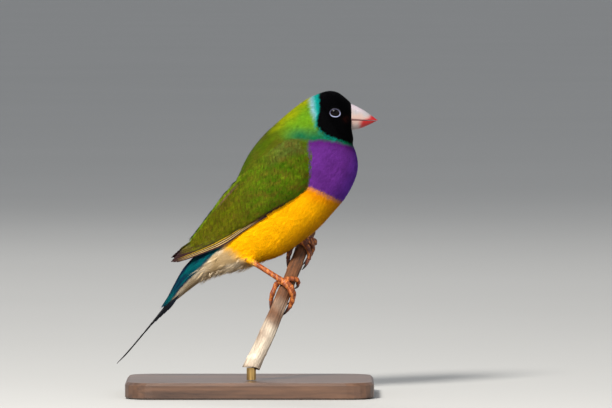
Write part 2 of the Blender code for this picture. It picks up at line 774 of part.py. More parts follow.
def toe_line(foot, places):
    """The middle line of a toe round the perch."""
    line = []
    for s in steps(0.0, len(places) - 1.0, TOE_STEPS):
        up, angle = curve(places, s)
        share = s / (len(places) - 1.0)
        radius = TOE_RADIUS[0] + (TOE_RADIUS[1] - TOE_RADIUS[0]) * share
        line.append(on_perch(foot, up, angle, radius + GAP + TOE_REST))
    return line


def toe_radii(count):
    """The toe thins towards the claw and swells at its pads."""
    radii = []
    for share in steps(0.0, 1.0, count):
        radius = TOE_RADIUS[0] + (TOE_RADIUS[1] - TOE_RADIUS[0]) * share
        radii.append(radius * (1 + PAD_SWELL * math.cos(share * 6 * math.pi)))
    return radii


def claw_line(foot, places):
    """The middle line of a claw, which goes on round the perch from the end of its toe."""
    (up_before, angle_before), (up, angle) = places[-2], places[-1]
    reach = on_perch(foot, up, angle, 1.0) - on_perch(foot, up_before, angle_before, 1.0)
    share = CLAW_LENGTH / reach.length
    line = []
    for s in steps(0.0, share, 6):
        height = TOE_RADIUS[1] + GAP + TOE_REST - CLAW_CLOSING * s / share
        line.append(on_perch(foot, up + (up - up_before) * s, angle + (angle - angle_before) * s, height))
    start = (line[1] - line[0]).normalized() * (GAP + TOE_RADIUS[1] * 0.6)
    return [point + start for point in line]


def toe_tube(foot, places, spread=0.0):
    """The shape of a toe with its root sunk in the pad, made fatter by the spread."""
    knuckle = knuckle_place(foot)
    line = toe_line(foot, places)
    line = [knuckle.lerp(line[0], 0.3), *line]
    radii = [TOE_RADIUS[0] * 0.9, *toe_radii(len(line) - 1)]
    return tube(line, [radius + spread for radius in radii], TOE_SIDES)


def foot_rooms(side_name, foot, spread, look):
    """Cutters in the shape of a foot made fatter, which keep its neighbours off it."""
    knuckle = knuckle_place(foot)
    room = ball(knuckle, PAD_RADIUS + spread, Vector((0, 0, 1)), 14, 9)
    rooms = [build_object("foot_room", room, look, knuckle)]
    for places in TOES[side_name].values():
        rooms.append(build_object("toe_room", toe_tube(foot, places, spread), look, knuckle))
    return rooms


def make_foot(side_name, foot, heel, parent, looks):
    knuckle = knuckle_place(foot)
    leg_shape = tube(leg_line(foot, heel), leg_radii(), 12)
    leg = build_object("leg_" + side_name, leg_shape, looks["leg"], heel, parent)
    pad_shape = ball(knuckle, PAD_RADIUS, Vector((0, 0, 1)), 12, 8)
    pad = build_object("foot_" + side_name, pad_shape, looks["leg"], knuckle, parent)
    toes = []
    for toe_name, places in TOES[side_name].items():
        toes.append(build_object("toe", toe_tube(foot, places), looks["leg"], knuckle))
        claw_points = claw_line(foot, places)
        radii = steps(CLAW_RADIUS[0], CLAW_RADIUS[1], len(claw_points))
        claw = tube(claw_points, radii, 5, None, False)
        made = build_object(f"claw_{toe_name}_{side_name}", claw, looks["claw"], claw_points[0], parent)
        smooth(made, 60)
    combine(pad, toes, "UNION")
    combine(leg, foot_rooms(side_name, foot, GAP, looks["leg"]), "DIFFERENCE")
    smooth(pad, 50)
    smooth(leg, 50)


def make_perch(parent, looks):
    rings = []
    last = len(PERCH) - 1.0
    foot_z = PERCH[0][0][2]
    for number, t in enumerate(steps(0.0, last, 19)):
        middle, axis, near, right, radius = perch_frame(t)
        knot = 1 - PERCH_KNOT / radius * (1 - math.cos(2 * math.pi * t)) / 2
        ring = []
        for i in range(PERCH_SIDES):
            turn = 2 * math.pi * i / PERCH_SIDES
            uneven = 1 - PERCH_UNEVEN * (1 + math.sin(3 * turn + 2.1 * t))
            point = middle + (near * math.cos(turn) + right * math.sin(turn)) * radius * knot * uneven
            if number == 0:
                point = point + axis * ((foot_z - point.z) / axis.z)
            ring.append(point)
        rings.append(ring)
    perch = build_object("perch", loft(rings), looks["bark"], PERCH[0][0], parent)
    smooth(perch)


def make_stand(parent, looks):
    length, width, height = BASE_SIZE
    corners = []
    for quarter in range(4):
        cx = (length / 2 - BASE_CORNER) * (1 if quarter in (0, 3) else -1)
        cy = (width / 2 - BASE_CORNER) * (1 if quarter in (0, 1) else -1)
        for turn in steps(quarter * 90.0, quarter * 90.0 + 90.0, 7):
            out = Vector((math.cos(math.radians(turn)), math.sin(math.radians(turn)), 0))
            corners.append(Vector((cx, cy, 0)) + out * BASE_CORNER)
    inset = [corner * (1 - BASE_EDGE / corner.length) for corner in corners]
    lift = Vector((0, 0, 1))
    rings = [inset, [c + lift * BASE_EDGE * 0.6 for c in corners]]
    rings.append([c + lift * (height - BASE_EDGE) for c in corners])
    rings.append([c + lift * height for c in inset])
    base = build_object("stand_base", loft(rings), looks["base"], (0, 0, 0), parent)
    smooth(base, 30)
    foot = Vector(PERCH[0][0])
    ends = [Vector((foot.x, foot.y, height + GAP)), Vector((foot.x, foot.y, foot.z - GAP))]
    rings = [ring_round(end, lift, (ROD_RADIUS, ROD_RADIUS), ROD_SIDES) for end in ends]
    rod = build_object("stand_rod", loft(rings), looks["rod"], ends[0], parent)
    smooth(rod, 30)


def make_materials():
    return {
        "black": material("black_feathers", (0.012, 0.011, 0.013), 0.75),
        "nape": material("nape_feathers", (0.16, 0.45, 0.05), 0.7),
        "belly": material("belly_feathers", (0.85, 0.48, 0.01), 0.75),
        "rump": material("rump_feathers", (0.02, 0.25, 0.32), 0.6),
        "wing": material("wing_feathers", (0.10, 0.20, 0.02), 0.65),
        "tail": material("tail_feathers", (0.02, 0.03, 0.035), 0.6),
        "bill": material("bill_horn", (0.70, 0.45, 0.45), 0.4),
        "lid": material("eye_ring", (0.62, 0.68, 0.72), 0.6),
        "eye": material("eye_dark", (0.012, 0.008, 0.006), 0.08),
        "leg": material("leg_scales", (0.72, 0.28, 0.14), 0.55),
        "claw": material("claw_horn", (0.10, 0.05, 0.03), 0.4),
        "bark": material("perch_bark", (0.33, 0.20, 0.13), 0.85),
        "base": material("stand_wood", (0.05, 0.03, 0.02), 0.45),
        "rod": material("stand_brass", (0.6, 0.45, 0.2), 0.35, 1.0),
    }


def main():
    for old in list(bpy.data.objects):
        bpy.data.objects.remove(old)
    parent = bpy.data.objects.new("finch_on_stand", None)
    bpy.context.collection.objects.link(parent)
    looks = make_materials()
    make_head(parent, looks)
    make_bill(parent, looks)
    make_body(parent, looks)
    make_wing(1, parent, looks)
    make_wing(-1, parent, looks)
    make_tail(parent, looks)
    make_foot("right", NEAR_FOOT, NEAR_HEEL, parent, looks)
    make_foot("left", FAR_FOOT, FAR_HEEL, parent, looks)
    make_perch(parent, looks)
    make_stand(parent, looks)


main()
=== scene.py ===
"""Looks of the gouldian finch on its perch: skin, plumage, horn, bark, stand, light and camera.

Lengths are millimetres until build_mesh turns them into metres. The bird faces +X and its right
side faces -Y. An angle round the body is 0 on the back, 90 on the right side and 180 below. A side
is 1 for the bird's right and -1 for its left.
"""

import math

import bpy
import numpy as np
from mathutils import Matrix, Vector


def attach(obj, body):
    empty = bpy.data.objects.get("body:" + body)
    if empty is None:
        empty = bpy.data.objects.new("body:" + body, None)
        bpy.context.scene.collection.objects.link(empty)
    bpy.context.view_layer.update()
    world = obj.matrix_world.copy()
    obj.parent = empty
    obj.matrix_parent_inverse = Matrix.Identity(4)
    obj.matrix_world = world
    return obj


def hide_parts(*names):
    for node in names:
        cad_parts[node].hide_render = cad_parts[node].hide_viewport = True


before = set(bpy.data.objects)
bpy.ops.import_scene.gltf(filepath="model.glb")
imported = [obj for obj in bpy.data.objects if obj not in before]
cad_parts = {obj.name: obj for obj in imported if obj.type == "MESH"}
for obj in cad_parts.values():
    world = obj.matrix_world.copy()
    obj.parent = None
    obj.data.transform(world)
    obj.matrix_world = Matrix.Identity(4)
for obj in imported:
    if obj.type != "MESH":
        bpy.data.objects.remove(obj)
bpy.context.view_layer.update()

MM = 0.001
SIDES = {1: "right", -1: "left"}
BAKE_MAP = "OFBake"
BARB_MAP = "barbs"
PAINT = "plumage"
TUFT_PATCH = 0.003  # how wide a tuft's place is in the bake map

# Camera: level with the bird, on its right side
FRAME_WIDTH = 222.5  # what the frame takes in at the bird
AIM = (20.4, 0.0, 69.5)
VIEW_DISTANCE = 3000.0
VIEW_ELEVATION = 2.0
SENSOR = 36.0
CLIP_START, CLIP_END = 0.1, 200.0  # metres

# Lights: name, place in metres, size, power, colour
LIGHTS = (
    ("key", (-0.5, -1.25, 1.05), 0.36, 58.0, (1.0, 0.97, 0.92)),
    ("fill", (1.9, -1.9, 0.9), 2.4, 18.0, (0.95, 0.97, 1.0)),
    ("rim", (-0.3, 1.2, 1.1), 0.7, 6.0, (1.0, 0.98, 0.95)),
)
SKY_COLOUR = (0.86, 0.9, 0.96, 1.0)
SKY_STRENGTH = 0.55
FLOOR_RADIUS = 60.0  # metres
FLOOR_SIDES = 96

# Body stations: upper x, z, lower x, z, half width, how much wider the upper half is
BODY = np.array([
    (36.9, 106.1, 36.7, 96.0, 4.5, 0.00),
    (34.5, 108.4, 37.6, 93.5, 6.2, 0.05),
    (31.6, 110.3, 37.5, 90.9, 7.2, 0.10),
    (28.4, 110.7, 38.5, 88.4, 7.8, 0.12),
    (24.4, 109.5, 39.3, 84.7, 8.3, 0.08),
    (20.4, 107.6, 39.1, 81.1, 9.4, 0.02),
    (16.0, 104.5, 37.6, 76.7, 11.2, -0.04),
    (10.5, 99.8, 34.5, 71.3, 13.0, -0.05),
    (4.5, 94.2, 30.2, 66.2, 14.0, -0.04),
    (-0.7, 87.3, 24.7, 60.2, 14.2, -0.02),
    (-5.1, 78.2, 18.4, 55.3, 13.4, 0.00),
    (-9.8, 68.9, 11.6, 50.9, 11.8, 0.00),
    (-13.8, 61.5, 4.4, 48.4, 9.7, 0.00),
    (-17.5, 54.7, -3.6, 45.6, 7.6, 0.00),
    (-20.7, 50.2, -10.2, 44.4, 6.2, 0.00),
    (-24.5, 45.8, -16.0, 42.4, 4.9, 0.00),
    (-27.5, 40.4, -21.8, 38.4, 3.7, 0.00),
    (-30.0, 35.6, -26.9, 34.4, 2.6, 0.00),
    (-31.9, 32.7, -30.7, 32.0, 1.2, 0.00),
])
BODY_END = 18.0
SKIN_ROWS, SKIN_SIDES = 190, 120

# Coat at each body station: feather length, width, space between neighbours, depth of the skin
COAT = np.array([
    (0.70, 0.50, 0.30, 0.45),
    (0.95, 0.60, 0.32, 0.60),
    (1.20, 0.70, 0.34, 0.75),
    (1.40, 0.80, 0.36, 0.85),
    (1.70, 0.90, 0.40, 0.95),
    (2.10, 1.05, 0.44, 1.05),
    (2.50, 1.25, 0.50, 1.15),
    (2.90, 1.40, 0.54, 1.25),
    (3.10, 1.50, 0.56, 1.30),
    (3.20, 1.55, 0.58, 1.30),
    (3.30, 1.60, 0.58, 1.30),
    (3.50, 1.60, 0.58, 1.20),
    (4.20, 1.60, 0.58, 1.10),
    (5.40, 1.60, 0.56, 1.00),
    (6.60, 1.60, 0.52, 0.90),
    (7.00, 1.50, 0.48, 0.80),
    (6.00, 1.30, 0.44, 0.70),
    (4.20, 1.10, 0.40, 0.50),
    (2.40, 0.80, 0.40, 0.30),
])
COAT_CLOSENESS = 0.8  # share of the space between neighbours that is kept
BARBS, THIGH_BARBS, FINE_BARBS = 9, 8, 7  # barbs of one small feather
FLUFF_COUNT = 1100
FLUFF_SPREAD = 36.0  # degrees to each side of the middle below

# Pieces of the coat: name, first and last station, slot
COAT_PIECES = (
    ("face", -1.0, 2.4, "black_feathers"),
    ("cheek", 2.4, 3.9, "black_feathers"),
    ("nape", 3.9, 5.6, "nape_feathers"),
    ("neck", 5.6, 7.2, "nape_feathers"),
    ("breast", 7.2, 8.6, "belly_feathers"),
    ("side", 8.6, 10.2, "belly_feathers"),
    ("belly", 10.2, 12.0, "belly_feathers"),
    ("vent", 12.0, 14.0, "rump_feathers"),
    ("tail_coverts", 14.0, 18.0, "rump_feathers"),
)

# Wing stations: lower edge x, z, distance out, upper edge x, z, distance out, bow between them
WING = np.array([
    (21.8, 75.3, 12.4, 21.5, 92.7, 10.6, 1.0),
    (16.7, 71.4, 13.2, 13.1, 91.8, 10.6, 1.6),
    (10.7, 68.0, 13.4, 5.8, 86.5, 9.6, 1.7),
    (3.6, 63.8, 12.4, -2.5, 78.9, 5.9, 1.9),
    (-2.5, 59.6, 10.7, -8.7, 72.0, 2.2, 1.9),
    (-8.7, 55.1, 8.6, -14.5, 63.6, 1.2, 1.7),
    (-15.3, 52.2, 6.4, -19.3, 57.5, 1.1, 1.0),
    (-21.8, 49.6, 4.6, -24.0, 52.7, 1.3, 0.5),
    (-27.6, 47.3, 3.4, -28.7, 49.1, 2.0, 0.1),
])
WING_END = 8.0
FAR_WING_RAISE = 1.3  # how far the tip of the left wing lies above the right one's
WING_HEIGHT = np.array([(0.8,), (1.9,), (2.2,), (2.1,), (1.9,), (1.5,), (1.2,), (1.0,), (0.7,)])
WING_COAT = np.array([  # the same as COAT, at the first wing stations
    (1.60, 1.00, 0.46, 0.6),
    (2.40, 1.30, 0.52, 0.7),
    (3.10, 1.60, 0.60, 0.8),
    (4.20, 1.90, 0.68, 0.8),
    (5.20, 2.10, 0.76, 0.7),
])
WING_COAT_END = 5.8
WING_COAT_CLOSENESS = 0.7
# Lower border of the coverts: wing station, share of the way up
WING_COVERED = ((0.2, 0.8, 2.6, 3.6, 4.8, 6.0, 7.0), (0.0, 0.07, 0.07, 0.1, 0.26, 0.28, 0.4))

# Flight feathers: their tips by wing station, the long primaries first
FLIGHT_TIPS = (7.75, 7.9, 8.0, 7.9, 7.75, 7.55, 7.35, 7.15, 7.2, 7.05, 6.9, 6.7, 6.5, 6.3, 6.0, 5.6, 5.1)
PRIMARIES = 8
PRIMARY_WIDTH = 3.2
BUNDLED = 4  # the last primary that shares the bundle along the lower edge, counted from 0
FLIGHT_ROOT = 2.6
FLIGHT_ACROSS = (0.0, 0.025, 0.05, 0.08, 0.11, 0.2, 0.27, 0.30, 0.33, 0.42, 0.6, 0.8, 1.0)
FLIGHT_SHAFT = 0.3  # where the shaft lies across the vane
FLIGHT_OPEN, FLIGHT_COVERED = 1.25, 0.12  # height of the outer and the inner edge
FLIGHT_THICK = 0.12
FLIGHT_ROWS = 44
# Width of the bundle of primaries: wing station, mm
BUNDLE = ((2.6, 3.0, 3.8, 5.0, 6.0, 7.0, 8.0), (0.5, 0.9, 1.8, 3.0, 2.3, 2.1, 1.8))
PALE_SHARE = 0.36  # how much of the bare strip of each primary is pale

# Tail: the line of the shafts as x and z, and the feather pairs from the middle outwards
TAIL_LINE = np.array([
    (-20.0, 45.2),
    (-25.6, 38.6),
    (-31.2, 31.6),
    (-37.6, 23.6),
    (-43.6, 16.4),
    (-48.2, 11.3),
])
TAIL_ROOT = 0.45
TAIL_TIPS = (5.0, 2.75, 2.55, 2.35, 2.15, 1.95)
TAIL_EDGE = (2.5, 0.36)  # half width at the middle pair, and what each pair adds
TAIL_WIDTH = 2.35
TAIL_SLIT = 0.12
TAIL_LEVEL = 0.32  # how far each pair lies below the one before
TAIL_ACROSS = (0.0, 0.12, 0.25, 0.34, 0.38, 0.42, 0.6, 0.8, 0.95, 1.0)
TAIL_SHAFT = 0.38
TAIL_ROWS, FILAMENT_ROWS = 36, 60
FILAMENT_WIDTH = 0.5

# Bill
BILL_BASE_X = 37.2
BILL_ROOT_X = 35.6  # inside the face
BILL_TIP = (46.5, 99.8)
CULMEN_BASE_Z = 105.7
GONYS_BASE_Z = 96.4
MOUTH_BASE_Z = 100.2
BILL_HALF_WIDTH = 4.3
BILL_BULGE = 0.5
LOWER_BILL_SHARE = 0.94
MOUTH_GAP = 0.16
NOSTRIL_AT = (38.9, 3.0, 103.6)
NOSTRIL_RADIUS = 0.5
NOSTRIL_DEPTH = 0.35
BILL_ROWS, BILL_SIDES = 90, 61

# Eyes: the opening of the lids is an oval on the eyeball
EYE_STATION, EYE_ANGLE = 3.31, 68.0
EYE_FORWARD = 0.12
EYE_RADIUS = 2.6
LID_TO_EYE_CENTRE = 2.0
LID_OPENING = (1.82, 1.36)  # half its length and half its height
LID_CENTRE = (0.1, -0.5)  # forwards and up from the middle of the eyeball
LID_TILT = -6.0
LID_SKIN = 2.7  # radius of the bare skin over the eyeball
LID_WIDTH = 0.2
LID_HEIGHT = 0.2
LID_BEADS = 26
LID_CLEAR = 1.12  # feathers stay off the opening made this much larger
EYE_ROWS, EYE_SIDES = 60, 48
LID_ROWS, LID_SIDES = 180, 16

# By the angle from the back: the station where the black mask ends, and the width in mm of the
# turquoise band behind it
MASK_EDGE = (
    (0, 34, 52, 57, 61, 66, 72, 80, 89, 100, 114, 141, 180),
    (3.78, 4.15, 4.65, 5.05, 5.33, 5.52, 5.55, 5.45, 5.2, 4.7, 3.95, 3.0, 2.05),
)
BAND_WIDTH = ((0, 14, 43, 52, 59, 64, 80, 100, 112, 180), (3.4, 3.6, 3.5, 2.7, 1.2, 0.5, 0.4, 0.4, 0, 0))
MM_PER_STATION = 4.2  # on the head

# Borders of the plumage in the side view, as x and z
NAPE_LINE = ((8, 14, 17.5, 21.5, 23, 24), (92.0, 93.2, 93.4, 93.0, 92.0, 80.0))
COLLAR_LINE = ((21.5, 25.5, 30.9, 37.1, 40), (92.7, 93.1, 92.4, 90.5, 89.5))
BELLY_LINE = ((-20, -14, -8, 0, 10, 21.8, 27.3, 33.8, 45), (48, 53.5, 61, 69, 76, 75.3, 73.1, 70, 65.4))
RUMP_LINE = ((-36, -30.9, -29, -24.5, -19.3, -13.8, -9.3), (24, 31.2, 34.0, 39.6, 44.8, 50.8, 54.5))

# Perch: x, y, z, radius
PERCH = np.array([
    (0.6, -14.5, 11.0, 3.1),
    (6.2, -12.2, 22.5, 2.9),
    (12.7, -7.6, 38.0, 2.5),
    (16.2, -0.2, 46.2, 2.45),
    (19.3, 7.8, 53.8, 2.45),
    (21.6, 13.4, 59.2, 2.4),
])
PERCH_ROWS, PERCH_SIDES = 300, 84
PERCH_WAIST = 0.12  # how far the perch narrows between its knots

# Legs by side: the foot's place on the perch, the heel, how far down the plumage covers the leg,
# where its cuff of feathers starts and ends, and how dark the leg is painted; the far left leg's
# large darkness is painted shade
LEGS = {
    1: (2.18, (-3.1, -7.3, 51.3), 5.6, (2.2, 4.9), 0.05),
    -1: (3.93, (9.2, 7.4, 62.0), 3.6, (0.6, 2.8), 0.75),
}
LEG_RADIUS = np.array([(1.15,), (0.95,), (1.1,)])
LEG_COVER = 1.75  # how far the plumage stands off the line of a leg at its top
CUFF = ((1.5, 3.0, 6.4), (1.7, 1.4, 1.05))  # mm down from the heel, radius
PAD_RADIUS = 1.35
PAD_UP, PAD_ANGLE = -0.9, -24.0
GAP = 0.3
TOE_RADIUS = (1.05, 0.8)
TOE_REST = 0.12
TOE_START = 23  # rings of a toe between the pad and the perch
TOE_ROWS, TOE_SIDES = 170, 32
SHANK_ROWS, SHANK_SIDES = 260, 44
CLAW_ROWS, CLAW_SIDES = 40, 16
LEG_SCUTE, TOE_SCUTE = 1.35, 0.85  # length of a plate on the front
LEG_RELIEF, TOE_RELIEF = 0.08, 0.1
CLAW_RADIUS = (0.62, 0.1)
CLAW_LENGTH = 3.4
SCALES_ROUND = 9

# Toes by side: mm up the perch and degrees round it at each joint
TOES = {
    1: {
        "hallux": ((-0.8, -40), (-1.6, -78), (-4.4, -98), (-6.4, -122)),
        "inner": ((0.3, -12), (1.2, 10), (2.2, 38), (2.3, 72)),
        "middle": ((-0.9, -8), (-1.6, 24), (-2.6, 58), (-3.6, 90)),
        "outer": ((-1.6, -8), (-2.8, 32), (-4.6, 78), (-6.4, 106)),
    },
    -1: {
        "hallux": ((-0.8, -40), (-1.6, -78), (-4.2, -96), (-6.0, -118)),
        "inner": ((-1.0, -8), (-2.0, 24), (-3.2, 56), (-4.6, 84)),
        "middle": ((0.2, 0), (0.9, 36), (0.2, 74), (-1.8, 100)),
        "outer": ((1.0, -4), (2.6, 26), (3.8, 58), (4.2, 88)),
    },
}


def srgb(red, green, blue):
    """Linear colour from screen values of 0 to 255."""
    screen = np.array([red, green, blue]) / 255.0
    return np.where(screen <= 0.04045, screen / 12.92, ((screen + 0.055) / 1.055) ** 2.4)


# Colours
BLACK = srgb(1, 1, 2)
CROWN_SHEEN = srgb(5, 4, 7)
LORE = srgb(58, 22, 16)
BAND_TOP = srgb(140, 177, 193)
BAND_SIDE = srgb(9, 150, 140)
BAND_LOW = srgb(14, 150, 134)
NAPE_TOP = srgb(141, 146, 0)
NAPE_SIDE = srgb(96, 141, 22)
NAPE_LOW = srgb(8, 100, 64)
BACK_GREEN = srgb(68, 90, 4)
BACK_BROWN = srgb(86, 78, 18)
PURPLE = srgb(99, 42, 130)
PURPLE_DEEP = srgb(82, 12, 96)
# Blue violet painted towards the front of the breast as a painted highlight
PURPLE_HIGHLIGHT = srgb(92, 54, 178)
YELLOW = srgb(244, 177, 0)
ORANGE = srgb(240, 152, 0)
# Darker gold painted on the belly's underside as painted shade
BELLY_SHADE_GOLD = srgb(173, 112, 0)
CREAM = srgb(181, 154, 112)
WHITE_FLUFF = srgb(204, 187, 160)
TURQUOISE = srgb(0, 80, 84)
TAIL_BLUE = srgb(6, 30, 56)
TAIL_BLACK = srgb(9, 9, 12)
WING_GREEN = srgb(54, 90, 1)
WING_BRIGHT = srgb(80, 108, 6)
WING_BROWN = srgb(92, 72, 20)
WING_OLIVE = srgb(78, 76, 1)
WING_STREAK = srgb(90, 58, 22)
WING_STRIP = srgb(104, 74, 66)
SHOULDER = srgb(72, 78, 36)
PRIMARY_BROWN = srgb(42, 22, 22)
PRIMARY_EDGE = srgb(160, 132, 10)
PRIMARY_PALE = srgb(172, 146, 92)
FLIGHT_EDGES = (PRIMARY_BROWN, PRIMARY_PALE, PRIMARY_PALE, PRIMARY_EDGE, PRIMARY_BROWN)
BILL_PEARL = srgb(142, 138, 138)
BILL_PINK = srgb(160, 134, 124)
BILL_RIDGE = srgb(176, 158, 168)
BILL_RED = srgb(146, 3, 5)
BILL_MOUTH = srgb(96, 20, 18)
PUPIL = srgb(3, 2, 3)
IRIS = srgb(10, 5, 4)
LID_SHADE = srgb(62, 60, 82)
LID_PALE = srgb(148, 152, 182)
LID_FOOT = srgb(40, 36, 44)
LID_DARK = srgb(4, 3, 5)
LEG_PINK = srgb(132, 62, 22)
LEG_DARK = srgb(88, 40, 18)
LEG_PALE = srgb(204, 122, 54)
CLAW_BASE = srgb(96, 50, 32)
CLAW_TIP = srgb(22, 13, 11)
BARK_BROWN = srgb(88, 51, 22)
BARK_PALE = srgb(194, 180, 160)
BARK_CUT = srgb(170, 136, 96)
WOOD_DARK = srgb(46, 30, 22)
WOOD_PALE = srgb(96, 66, 46)
BRASS_DARK = srgb(176, 140, 80)
BRASS_PALE = srgb(206, 172, 110)
FLOOR_DARK = srgb(166, 165, 162)
FLOOR_PALE = srgb(171, 170, 167)

# Looks of the feathers: name, roughness, strength of the streaks, pitch in mm, specular level, tint
FEATHER_LOOKS = {
    "black": ("mask_feathers_look", 0.8, 0.3, 0.12, 0.03),
    "body": ("body_feathers_look", 0.8, 0.26, 0.2, 0.05),
    "wing": ("wing_coverts_look", 0.8, 0.7, 0.45, 0.05, WING_STREAK),
    "vane": ("flight_feathers_look", 0.65, 0.4, 0.45, 0.12),
}
# Looks of horn, skin and eyes: name, roughness, scale, depth in mm, coat, mottling, specular level
PAINTED_LOOKS = {
    "bill": ("bill_look", 0.36, 1800.0, 0.01, 0.1, 0.05, 0.4),
    "lid": ("lid_look", 0.6, 4000.0, 0.01, 0.0, 0.12, 0.2),
    "eye": ("eye_look", 0.04, 3000.0, 0.002, 0.0, 0.12, 0.09),
    "leg": ("leg_look", 0.5, 2600.0, 0.02, 0.05, 0.16, 0.3),
    "claw": ("claw_look", 0.35, 2600.0, 0.01, 0.1, 0.12, 0.5),
}


def steps(start, end, count):
    return np.linspace(start, end, count)


def full_turn(count):
    """Angles of a full turn, without its end."""
    return np.arange(count) * 2 * math.pi / count


def grid(rows, columns):
    return np.meshgrid(rows, columns, indexing="ij")


def unit(vectors):
    return vectors / np.maximum(np.linalg.norm(vectors, axis=-1, keepdims=True), 1e-9)


def on_ring(first, second, turn):
    """Points of a ring of radius 1, turned from its first towards its second direction."""
    return np.cos(turn)[..., None] * first + np.sin(turn)[..., None] * second


def mix(first, second, share):
    share = np.asarray(share)[..., None]
    return first * (1 - share) + second * share


def shaded(colour, factor):
    return colour * factor[..., None]


def rise(low, high, value):
    """0 below low, 1 above high and smooth between them."""
    share = np.clip((value - low) / (high - low), 0.0, 1.0)
    return share * share * (3 - 2 * share)


def curve(points, s):
    """A smooth curve through the rows of points, at the places s counted in rows."""
    points = np.asarray(points, float)
    s = np.asarray(s, float)
    last = len(points) - 1
    i = np.clip(np.floor(s).astype(int), 0, last - 1)
    t = (s - i)[..., None]
    b, c = points[i], points[i + 1]
    a = np.where((i > 0)[..., None], points[np.maximum(i - 1, 0)], 2 * b - c)
    d = np.where((i + 2 <= last)[..., None], points[np.minimum(i + 2, last)], 2 * c - b)
    square = (2 * a - 5 * b + 4 * c - d) * t * t
    cube = (3 * b - a - 3 * c + d) * t * t * t
    return 0.5 * (2 * b + (c - a) * t + square + cube)


def waves(point, size, seed):
    """Soft patches about size mm across, between -1 and 1."""
    chance = np.random.default_rng(seed)
    total = 0.0
    count = 8
    for _ in range(count):
        direction = unit(chance.normal(size=3))
        pitch = size * chance.uniform(1.2, 2.4)
        total = total + np.sin(point @ direction * (2 * math.pi / pitch) + chance.uniform(0, 7))
    return np.clip(total / math.sqrt(count), -1.0, 1.0)


def turned(angle):
    """Degrees from the middle of the back, the same on both sides."""
    return 180.0 - np.abs(np.mod(angle, 360.0) - 180.0)


def body(s, angle, lift=0.0):
    """A point of the bird's outline at station s, lifted off it by so many mm."""
    ux, uz, lx, lz, half_width, egg = np.moveaxis(curve(BODY, s), -1, 0)
    cosine, sine = np.cos(np.radians(angle)), np.sin(np.radians(angle))
    dx, dz = (ux - lx) / 2, (uz - lz) / 2
    depth = np.maximum(np.hypot(dx, dz), 1e-6)
    out = np.stack([dx / depth * cosine * half_width, -sine * depth, dz / depth * cosine * half_width], -1)
    across = half_width * sine * (1 + egg * cosine)
    point = np.stack([(ux + lx) / 2 + dx * cosine, -across, (uz + lz) / 2 + dz * cosine], -1)
    return point + unit(out) * np.asarray(lift)[..., None]


def wing(a, b, h, side):
    """A point of a wing: a from its bend to its tip, b from its lower to its upper edge, and h over
    its inner face."""

    def on_face(u, v):
        lx, lz, ly, ux, uz, uy, bow = np.moveaxis(curve(WING, u), -1, 0)
        lifted = FAR_WING_RAISE * (np.maximum(u, 0) / WING_END) ** 3 if side < 0 else 0.0
        out = ly + (uy - ly) * v + 4 * bow * v * (1 - v)
        return np.stack([lx + (ux - lx) * v, -out, lz + (uz - lz) * v + lifted], -1)

    a, b = np.broadcast_arrays(np.asarray(a, float), np.asarray(b, float))
    small = 0.02
    along = on_face(a + small, b) - on_face(a - small, b)
    across = on_face(a, b + small) - on_face(a, b - small)
    point = on_face(a, b) + unit(np.cross(across, along)) * np.asarray(h)[..., None]
    return as_right(point, side)


def as_right(points, side):
    """Mirrors points of the left side to the right, or back again."""
    return points * np.array([1.0, side, 1.0])


def wing_width(a):
    lx, lz, ly, ux, uz, uy, _ = np.moveaxis(curve(WING, a), -1, 0)
    return np.sqrt((lx - ux) ** 2 + (lz - uz) ** 2 + (ly - uy) ** 2)


def wing_height(a, b):
    """Height of the plumage over the wing's inner face, low at the front and upper edges."""
    full = curve(WING_HEIGHT, np.clip(a, -0.2, WING_END))[..., 0]
    lower = 1 - 0.35 * rise(0.25, 0.0, b)
    upper = 1 - 0.6 * rise(0.6, 1.0, b) * rise(5.5, 3.5, a)
    return full * lower * upper


def tail(t, y, h):
    """A point of the tail: t along the shafts, y to the side and h over them."""
    small = 0.02
    ahead = unit(curve(TAIL_LINE, t + small) - curve(TAIL_LINE, t - small))
    place = curve(TAIL_LINE, t)
    x = place[..., 0] + ahead[..., 1] * h
    z = place[..., 1] - ahead[..., 0] * h
    return np.stack([x, y + 0 * x, z], -1)


def perch_frame(t):
    """The perch's middle, its axis, its near side, its right side and its radius."""
    small = 0.02
    axis = unit(curve(PERCH, t + small)[..., :3] - curve(PERCH, t - small)[..., :3])
    near = np.array([0.0, -1.0, 0.0])
    near = unit(near - axis * (axis @ near)[..., None])
    right = unit(np.cross(axis, near))
    right = right * np.where(right[..., :1] < 0, -1.0, 1.0)
    place = curve(PERCH, t)
    return place[..., :3], axis, near, right, place[..., 3]


def on_perch(foot, up, angle, height):
    """A point round the perch: up in mm from the foot, degrees from the near side to the right."""
    per_row = np.linalg.norm(curve(PERCH, foot + 0.5)[:3] - curve(PERCH, foot - 0.5)[:3])
    middle, _, near, right, radius = perch_frame(foot + np.asarray(up, float) / per_row)
    return middle + on_ring(near, right, np.radians(angle)) * (radius + height)[..., None]


def leg_line(side):
    """A leg's heel, its knuckle over the perch and the direction between them."""
    foot, heel = LEGS[side][:2]
    heel = np.array(heel)
    knuckle = on_perch(foot, PAD_UP, PAD_ANGLE, PAD_RADIUS + GAP)
    return heel, knuckle, unit(knuckle - heel)


def leg_swelling(point, out):
    """How far the plumage is lifted where it covers the tops of the legs."""
    lift = 0.0
    for side in SIDES:
        heel, _, down = leg_line(side)
        end = LEGS[side][2]
        from_heel = point - heel
        ahead = from_heel @ down
        to_leg = np.clip(ahead, -0.5, end)[..., None] * down - from_heel
        above = np.sum(to_leg * out, -1)
        aside = np.linalg.norm(to_leg - above[..., None] * out, axis=-1)
        ends = rise(-3.2, -0.4, ahead) * rise(end + 1.2, end - 1.4, ahead)
        lift = np.maximum(lift, np.clip(above + LEG_COVER, 0, 3.4) * np.exp(-(aside / 1.7) ** 2) * ends)
    return lift


